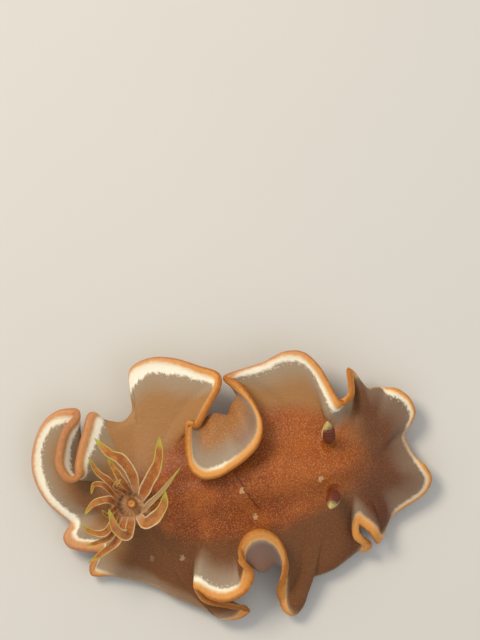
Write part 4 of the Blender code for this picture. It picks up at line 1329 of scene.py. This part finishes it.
@dataclass(frozen=True)
class Rhinophore:
    """A ringed club that leans outward, with a pale tip and a pale line behind."""

    side: str
    base: tuple[float, float]
    tip: tuple[float, float]
    pale_side: tuple[float, float]
    height: float = 3.6
    radius: float = 0.7
    leaves: int = 13

    def build(self, floor: float, material: bpy.types.Material) -> bpy.types.Object:
        """The club: a profile carried along a bent line, with leaves as a cosine wave.

        Args:
            floor: the back's height at its foot.
            material: its skin.

        Returns:
            The object, which sits at the origin.
        """
        rows, around = 150, 40
        (x0, y0), (x1, y1) = self.base, self.tip
        bend = (x0 + 0.4 * (x1 - x0), y0 + 0.4 * (y1 - y0), floor + 0.55 * self.height)
        points = open_curve(((x0, y0, floor - 0.3), bend, (x1, y1, floor + self.height)), rows)
        _, sides, normals = carried_sides(points, np.array([0.0, 1.0, 0.0]))
        share = np.linspace(0.0, 1.0, rows)[:, None]
        turn = np.linspace(0.0, 2 * np.pi, around, endpoint=False)[None, :]
        club = np.sin(np.pi * np.clip((share - 0.1) / 0.92, 0.0, 1.0)) ** 0.8
        body = 0.93 * self.radius * (0.5 * (1.0 - share) ** 2 + club)
        slant = 0.05 * np.cos(turn)
        wave = 0.5 + 0.5 * np.cos(2 * np.pi * self.leaves * (share + slant))
        in_leaves = smooth_step(0.2, 0.3, share) * (1.0 - smooth_step(0.84, 0.9, share))
        ridge = wave**0.7 * in_leaves
        radius = body + 0.06 * (ridge - 0.4 * in_leaves)
        cap = np.clip(1.0 - (share - 0.965) / 0.035, 0.02, 1.0)
        radius = radius * np.where(share > 0.965, np.sqrt(1.0 - (1.0 - cap) ** 2), 1.0)
        ring = ((radius * np.cos(turn))[..., None] * sides[:, None]
                + (radius * np.sin(turn))[..., None] * normals[:, None])
        rear = np.maximum(unit(ring) @ np.array([*self.pale_side, 0.0]), 0.0)
        attributes = {"share": np.broadcast_to(share, radius.shape).ravel(),
                      "ridge": np.broadcast_to(ridge, radius.shape).ravel(), "rear": rear.ravel()}
        return Builder.mesh_object(f"rhinophore_club_{self.side}", points[:, None] + ring,
                                   tube_faces(rows, around), material, attributes)


RHINOPHORES = (Rhinophore("left", (10.7, 4.5), (10.45, 6.95), (-1.0, 0.0)),
               Rhinophore("right", (11.35, -0.75), (10.75, -2.45), (0.8, -0.6)))


@dataclass(frozen=True)
class GillLeaf:
    """One blade of the gill: where it stands on the circle, its bends and its width."""

    name: str
    angle: float
    path: tuple
    width: float
    pale: float = 0.0        # how much of its inner face is olive
    gutter: float = 0.3      # how far its edges are lifted, beside its half width
    ripple: float = 26.0     # how fast its edges wave along its length

    def build(self, gill: "Gill", skin: Skin, material: bpy.types.Material) -> bpy.types.Object:
        """A folded blade that narrows to its foot and its tip.

        A lens-shaped section carried along the path, with its edges lifted.

        Args:
            gill: the circle that it stands on.
            skin: the skin that carries it.
            material: its skin.

        Returns:
            The object, which sits at the origin.
        """
        rows, across = 64, 15
        turn = math.radians(self.angle)
        out = np.array([math.cos(turn), math.sin(turn)])
        x, y = np.array(gill.centre) + gill.radius * out
        floor = skin.back_height(x, y)
        path = ((x, y, floor - 0.2), (x + 0.25 * out[0], y + 0.25 * out[1], floor + 1.1), *self.path)
        points = open_curve(path, rows)
        along, sides, _ = carried_sides(points, np.array([-out[1], out[0], 0.0]))
        share = np.linspace(0.0, 1.0, rows)
        turned = np.clip((share - 0.1) / 0.35, 0.0, 1.0)[:, None]
        sides = unit((1.0 - turned) * sides + turned * np.cross([0.0, 0.0, 1.0], along))
        normals = np.cross(along, sides)
        taper = (1.0 - share**4) ** 0.7 * np.minimum(1.0, 0.36 + 1.3 * share)
        half = 0.5 * self.width * np.maximum(0.03, taper)
        half *= 1.0 + 0.06 * np.sin(share * self.ripple + self.angle)
        a = np.linspace(-1.0, 1.0, across)
        lift = self.gutter * half[:, None] * (np.abs(a)[None, :] ** 1.6 - 0.4)
        spread = (half[:, None] * a[None, :])[..., None] * sides[:, None]
        centre = points[:, None] + spread + lift[..., None] * normals[:, None]
        crown = 0.55 + 0.45 * np.sqrt(np.maximum(0.0, 1.0 - a**2))
        thick = 0.5 * gill.thickness * (1.0 - 0.55 * share)[:, None] * crown[None, :]
        shift = thick[..., None] * normals[:, None]
        grid = np.concatenate([centre + shift, (centre - shift)[:, ::-1]], axis=1)
        across_value = np.broadcast_to(np.concatenate([a, a[::-1]]), grid.shape[:2])
        along_value = np.broadcast_to(share[:, None], grid.shape[:2])
        pale = np.zeros(grid.shape[:2])
        pale[:, :across] = self.pale
        attributes = {"across": across_value.ravel(), "along": along_value.ravel(), "pale": pale.ravel()}
        faces = [face[::-1] for face in tube_faces(rows, 2 * across)]
        return Builder.mesh_object(f"{self.name}_blade", grid, faces, material, attributes)


@dataclass(frozen=True)
class Gill:
    """The circle of leaves that stands round the anal papilla."""

    centre: tuple[float, float] = (-11.0, -2.2)
    radius: float = 1.4
    thickness: float = 0.3
    leaves: tuple = (
        GillLeaf("gill_leaf_front", 35, ((-9.0, 0.2, 8.2), (-7.9, 2.5, 9.9), (-7.65, 5.4, 10.5)), 1.45),
        GillLeaf("gill_leaf_front_left", 61,
                 ((-10.7, 1.3, 8.6), (-11.8, 2.9, 9.8), (-13.1, 3.6, 10.2), (-14.7, 5.2, 10.0)), 1.35),
        GillLeaf("gill_leaf_left", 90, ((-11.8, 0.6, 8.5), (-12.4, 1.6, 9.2), (-13.3, 3.0, 9.5)), 0.85),
        GillLeaf("gill_leaf_inner_left", 111, ((-12.5, 0.0, 8.9), (-11.8, 0.8, 9.9)), 0.6),
        GillLeaf("gill_leaf_rear_left", 132, ((-13.2, 0.5, 8.0), (-14.4, 1.5, 8.7), (-15.4, 3.2, 9.4)), 0.8),
        GillLeaf("gill_leaf_rear_hook", 152,
                 ((-13.7, 0.0, 7.3), (-14.8, 0.1, 7.6), (-15.1, -0.9, 8.2)), 0.65),
        GillLeaf("gill_leaf_rear", 172, ((-13.3, -1.5, 7.6), (-14.8, -1.9, 8.3), (-15.8, -3.1, 8.4)), 0.9),
        GillLeaf("gill_leaf_rear_short", 192, ((-13.3, -3.2, 7.9), (-13.9, -2.6, 9.0)), 0.6),
        GillLeaf("gill_leaf_rear_right", 212,
                 ((-13.4, -4.9, 7.9), (-14.8, -5.1, 8.0), (-16.1, -4.3, 8.4)), 0.85),
        GillLeaf("gill_leaf_rear_under", 230,
                 ((-13.0, -5.5, 7.2), (-14.2, -6.1, 7.2), (-15.7, -6.5, 7.4)), 0.75),
        GillLeaf("gill_leaf_rear_long", 251,
                 ((-12.3, -5.9, 6.5), (-13.6, -7.1, 6.5), (-15.45, -8.4, 6.3)), 0.95),
        GillLeaf("gill_leaf_right_curl", 276,
                 ((-11.2, -5.3, 8.2), (-12.4, -4.6, 9.4), (-13.15, -2.4, 10.2)), 1.25, 0.15),
        GillLeaf("gill_leaf_right", 312,
                 ((-9.4, -4.0, 7.6), (-8.75, -3.8, 8.8), (-7.95, -3.1, 9.5), (-7.25, -2.0, 9.9),
                  (-7.0, -0.5, 10.3)), 1.5, 0.15),
        GillLeaf("gill_leaf_front_right", 339,
                 ((-8.9, -2.0, 7.8), (-7.4, -0.5, 9.0), (-5.4, 2.1, 10.4)), 0.65, 1.0),
    )

    def build(self, skin: Skin, leaf: bpy.types.Material,
              flesh: bpy.types.Material) -> dict[str, bpy.types.Object]:
        """All leaves and the papilla.

        Args:
            skin: the skin that carries them.
            leaf: the leaves' finish.
            flesh: the papilla's finish.

        Returns:
            The objects, by the node that each replaces.
        """
        made = {blade.name: blade.build(self, skin, leaf) for blade in self.leaves}
        made["anal_papilla"] = self._papilla(skin, flesh)
        return made

    def _papilla(self, skin: Skin, material: bpy.types.Material) -> bpy.types.Object:
        """A short tube with a puckered mouth.

        A profile turned round an upright line, with folds as a cosine wave.

        Args:
            skin: the skin that carries it.
            material: its skin.

        Returns:
            The object, which sits at the origin.
        """
        x, y = self.centre[0] + 0.25, self.centre[1] + 0.2
        floor = skin.back_height(x, y)
        turn = np.linspace(0.0, 2 * np.pi, 40, endpoint=False)
        profile = ((0.62, -0.2), (0.58, 0.3), (0.52, 0.8), (0.5, 1.2), (0.44, 1.5), (0.34, 1.66),
                   (0.22, 1.68), (0.14, 1.62), (0.08, 1.55), (0.04, 1.5))
        curve = open_curve([(r, 0.0, z) for r, z in profile], 40)
        folds = 1.0 + 0.07 * np.cos(9 * turn)[None, :] * smooth_step(0.5, 1.4, curve[:, 2])[:, None]
        radius = curve[:, 0][:, None] * folds
        grid = np.stack([x + radius * np.cos(turn), y + radius * np.sin(turn),
                         floor + np.broadcast_to(curve[:, 2][:, None], radius.shape)], axis=-1)
        share = np.broadcast_to(np.linspace(0.0, 1.0, len(curve))[:, None] * 1.2, radius.shape)
        faces = tube_faces(len(curve), len(turn))
        return Builder.mesh_object("anal_papilla_tube", grid, faces, material, {"share": share.ravel()})


@dataclass(frozen=True)
class Head:
    """Mouth bulb under the front of the mantle, with its two oral tentacles."""

    centre: tuple[float, float, float] = (15.5, 2.0, 1.25)
    radii: tuple[float, float, float] = (1.25, 1.7, 0.7)
    tentacle: float = 1.5

    def build(self, material: bpy.types.Material) -> dict[str, bpy.types.Object]:
        """The bulb and the tentacles.

        Args:
            material: their finish.

        Returns:
            The objects, by node.
        """
        made = {"head": self._bulb(material)}
        for side, sign in (("left", 1), ("right", -1)):
            made[f"oral_tentacle_{side}"] = self._tentacle(side, sign, material)
        return made

    @staticmethod
    def _plain(points: np.ndarray) -> dict[str, np.ndarray]:
        """The skin's attributes on flesh that has no markings.

        Args:
            points: a grid of points.

        Returns:
            One value or vector for each point, by attribute.
        """
        count = points.shape[0] * points.shape[1]
        values = {"rim_distance": 9.0, "under": 1.0, "warmth": 0.0, "margin": 0.0, "band": 0.0, "tint": 0.0}
        flat = {key: np.full(count, value) for key, value in values.items()}
        flat["rim_circle"] = points.reshape(-1, 3)
        return flat

    def _bulb(self, material: bpy.types.Material) -> bpy.types.Object:
        """An oval bulb, drawn in at the front where the lips meet.

        Args:
            material: its skin.

        Returns:
            The object, which sits at the origin.
        """
        rows, around = 30, 48
        turn = np.linspace(0.0, 2 * np.pi, around, endpoint=False)[None, :]
        lean = np.linspace(0.02, np.pi - 0.02, rows)[:, None]
        cx, cy, cz = self.centre
        rx, ry, rz = self.radii
        lips = 1.0 - 0.18 * np.exp(-(((lean - np.pi / 2) / 0.18) ** 2)) * np.clip(np.cos(turn), 0.0, 1.0)
        grid = np.stack([cx + rx * np.sin(lean) * np.cos(turn) * lips,
                         cy + ry * np.sin(lean) * np.sin(turn) * lips,
                         cz + rz * np.cos(lean) + 0 * turn], axis=-1)
        return Builder.mesh_object("head_bulb", grid[::-1], tube_faces(rows, around), material,
                                   self._plain(grid))

    def _tentacle(self, side: str, sign: int, material: bpy.types.Material) -> bpy.types.Object:
        """A blunt limb that tapers outward: an oval section carried along a bent line.

        Args:
            side: left or right.
            sign: 1 for the left, -1 for the right.
            material: its skin.

        Returns:
            The object, which sits at the origin.
        """
        cx, cy, cz = self.centre
        y = cy + sign * (self.radii[1] - 0.1)
        path = ((cx + 0.3, y, cz), (cx + 0.75, y + sign * 0.7 * self.tentacle, cz - 0.1),
                (cx + 1.3, y + sign * 1.1 * self.tentacle, cz - 0.2))
        rows, around = 30, 20
        points = open_curve(path, rows)
        _, sides, normals = carried_sides(points, np.array([1.0, 0.0, 0.0]))
        share = np.linspace(0.0, 1.0, rows)[:, None]
        turn = np.linspace(0.0, 2 * np.pi, around, endpoint=False)[None, :]
        tip = np.clip(1.0 - ((share - 0.86) / 0.141).clip(0.0, 1.0) ** 2, 0.02, 1.0)
        radius = (0.42 - 0.24 * share) * np.sqrt(tip)
        grid = (points[:, None] + (radius * np.cos(turn))[..., None] * sides[:, None]
                + (0.86 * radius * np.sin(turn))[..., None] * normals[:, None])
        return Builder.mesh_object(f"oral_tentacle_{side}_limb", grid, tube_faces(rows, around), material,
                                   self._plain(grid))


@dataclass(frozen=True)
class Studio:
    """Pale floor, soft light from the upper left and a long lens from above."""

    frame_width: float = 52.8       # width of floor that the picture takes in
    look_at: tuple[float, float] = (0.99, 17.93)
    camera_height: float = 480.0
    floor_half: float = 900.0

    def build(self) -> None:
        """Floor, world, lights, camera and view."""
        self._floor()
        self._world()
        self._lamp("key", (-150.0, 150.0, 260.0), 120.0, 0.66, "FFF1DC")
        self._lamp("fill", (180.0, -60.0, 240.0), 220.0, 0.08, "E6EEFF")
        self._camera()
        self._plain_view()

    @staticmethod
    def _plain_view() -> None:
        """Show colours as they are given: the usual tone curve would wash out the white band."""
        bpy.context.scene.view_settings.view_transform = "Standard"

    def _floor(self) -> None:
        """One large square at the height of the sole."""
        size = self.floor_half
        corners = [(-size, -size, 0.0), (size, -size, 0.0), (size, size, 0.0), (-size, size, 0.0)]
        floor = Builder.mesh_object("studio_floor", np.array(corners), [(0, 1, 2, 3)], FloorFinish().build())

    @staticmethod
    def _world() -> None:
        """Even, faintly cool light from all sides."""
        world = bpy.data.worlds.new("studio")
        world.use_nodes = True
        background = world.node_tree.nodes["Background"]
        background.inputs["Color"].default_value = (0.95, 0.97, 1.0, 1.0)
        background.inputs["Strength"].default_value = 0.6
        bpy.context.scene.world = world

    @staticmethod
    def _lamp(name: str, place: tuple, size: float, power: float, color: str) -> None:
        """A square lamp that faces the animal.

        Args:
            name: its name.
            place: where it stands, in millimetres.
            size: the side of the square.
            power: its power in watts.
            color: its colour.
        """
        data = bpy.data.lights.new(name, "AREA")
        data.size = size * MM
        data.energy = power
        data.color = linear(color)[:3]
        lamp = bpy.data.objects.new(name, data)
        lamp.location = Vector(place) * MM
        lamp.rotation_euler = (-lamp.location).to_track_quat("-Z", "Y").to_euler()
        bpy.context.collection.objects.link(lamp)

    def _camera(self) -> None:
        """A long lens that looks straight down on the picture's middle."""
        data = bpy.data.cameras.new("photo_camera")
        data.sensor_fit = "HORIZONTAL"
        data.angle = 2 * math.atan(0.5 * self.frame_width / self.camera_height)
        data.clip_end = 10.0
        camera = bpy.data.objects.new("photo_camera", data)
        camera.location = (self.look_at[0] * MM, self.look_at[1] * MM, self.camera_height * MM)
        bpy.context.collection.objects.link(camera)
        bpy.context.scene.camera = camera


def carry(piece: bpy.types.Object, *nodes: str) -> None:
    """Let the piece move with the animal and stand for the nodes.

    Args:
        piece: the object.
        nodes: the nodes that it stands for.
    """
    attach(piece, "root")
    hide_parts(*nodes)


def main() -> None:
    logging.basicConfig(level=logging.INFO, format="%(name)s: %(message)s")
    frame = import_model()

    skin_material = SkinFinish().build()
    trunk = Trunk()
    mantle = Mantle(trunk)
    skin = Skin(trunk, mantle)
    flesh_nodes = [name for name in frame["nodes"]
                   if name.startswith(("mantle", "notum", "body", "foot", "gill_wall", "rhinophore_sheath"))]
    carry(skin.build(skin_material), *sorted(flesh_nodes, key=lambda name: name != "notum"))
    log.info("skin over %d nodes", len(flesh_nodes))

    for node, piece in Head().build(skin_material).items():
        carry(piece, node)
    log.info("head and oral tentacles")

    club = ClubFinish().build()
    for rhinophore in RHINOPHORES:
        floor = skin.back_height(*rhinophore.base)
        carry(rhinophore.build(floor, club), f"rhinophore_{rhinophore.side}")
    log.info("rhinophores")

    for node, piece in Gill().build(skin, LeafFinish().build(), PapillaFinish().build()).items():
        carry(piece, node)
    log.info("gill")

    Studio().build()
    log.info("studio")


if __name__ == "__main__":
    main()
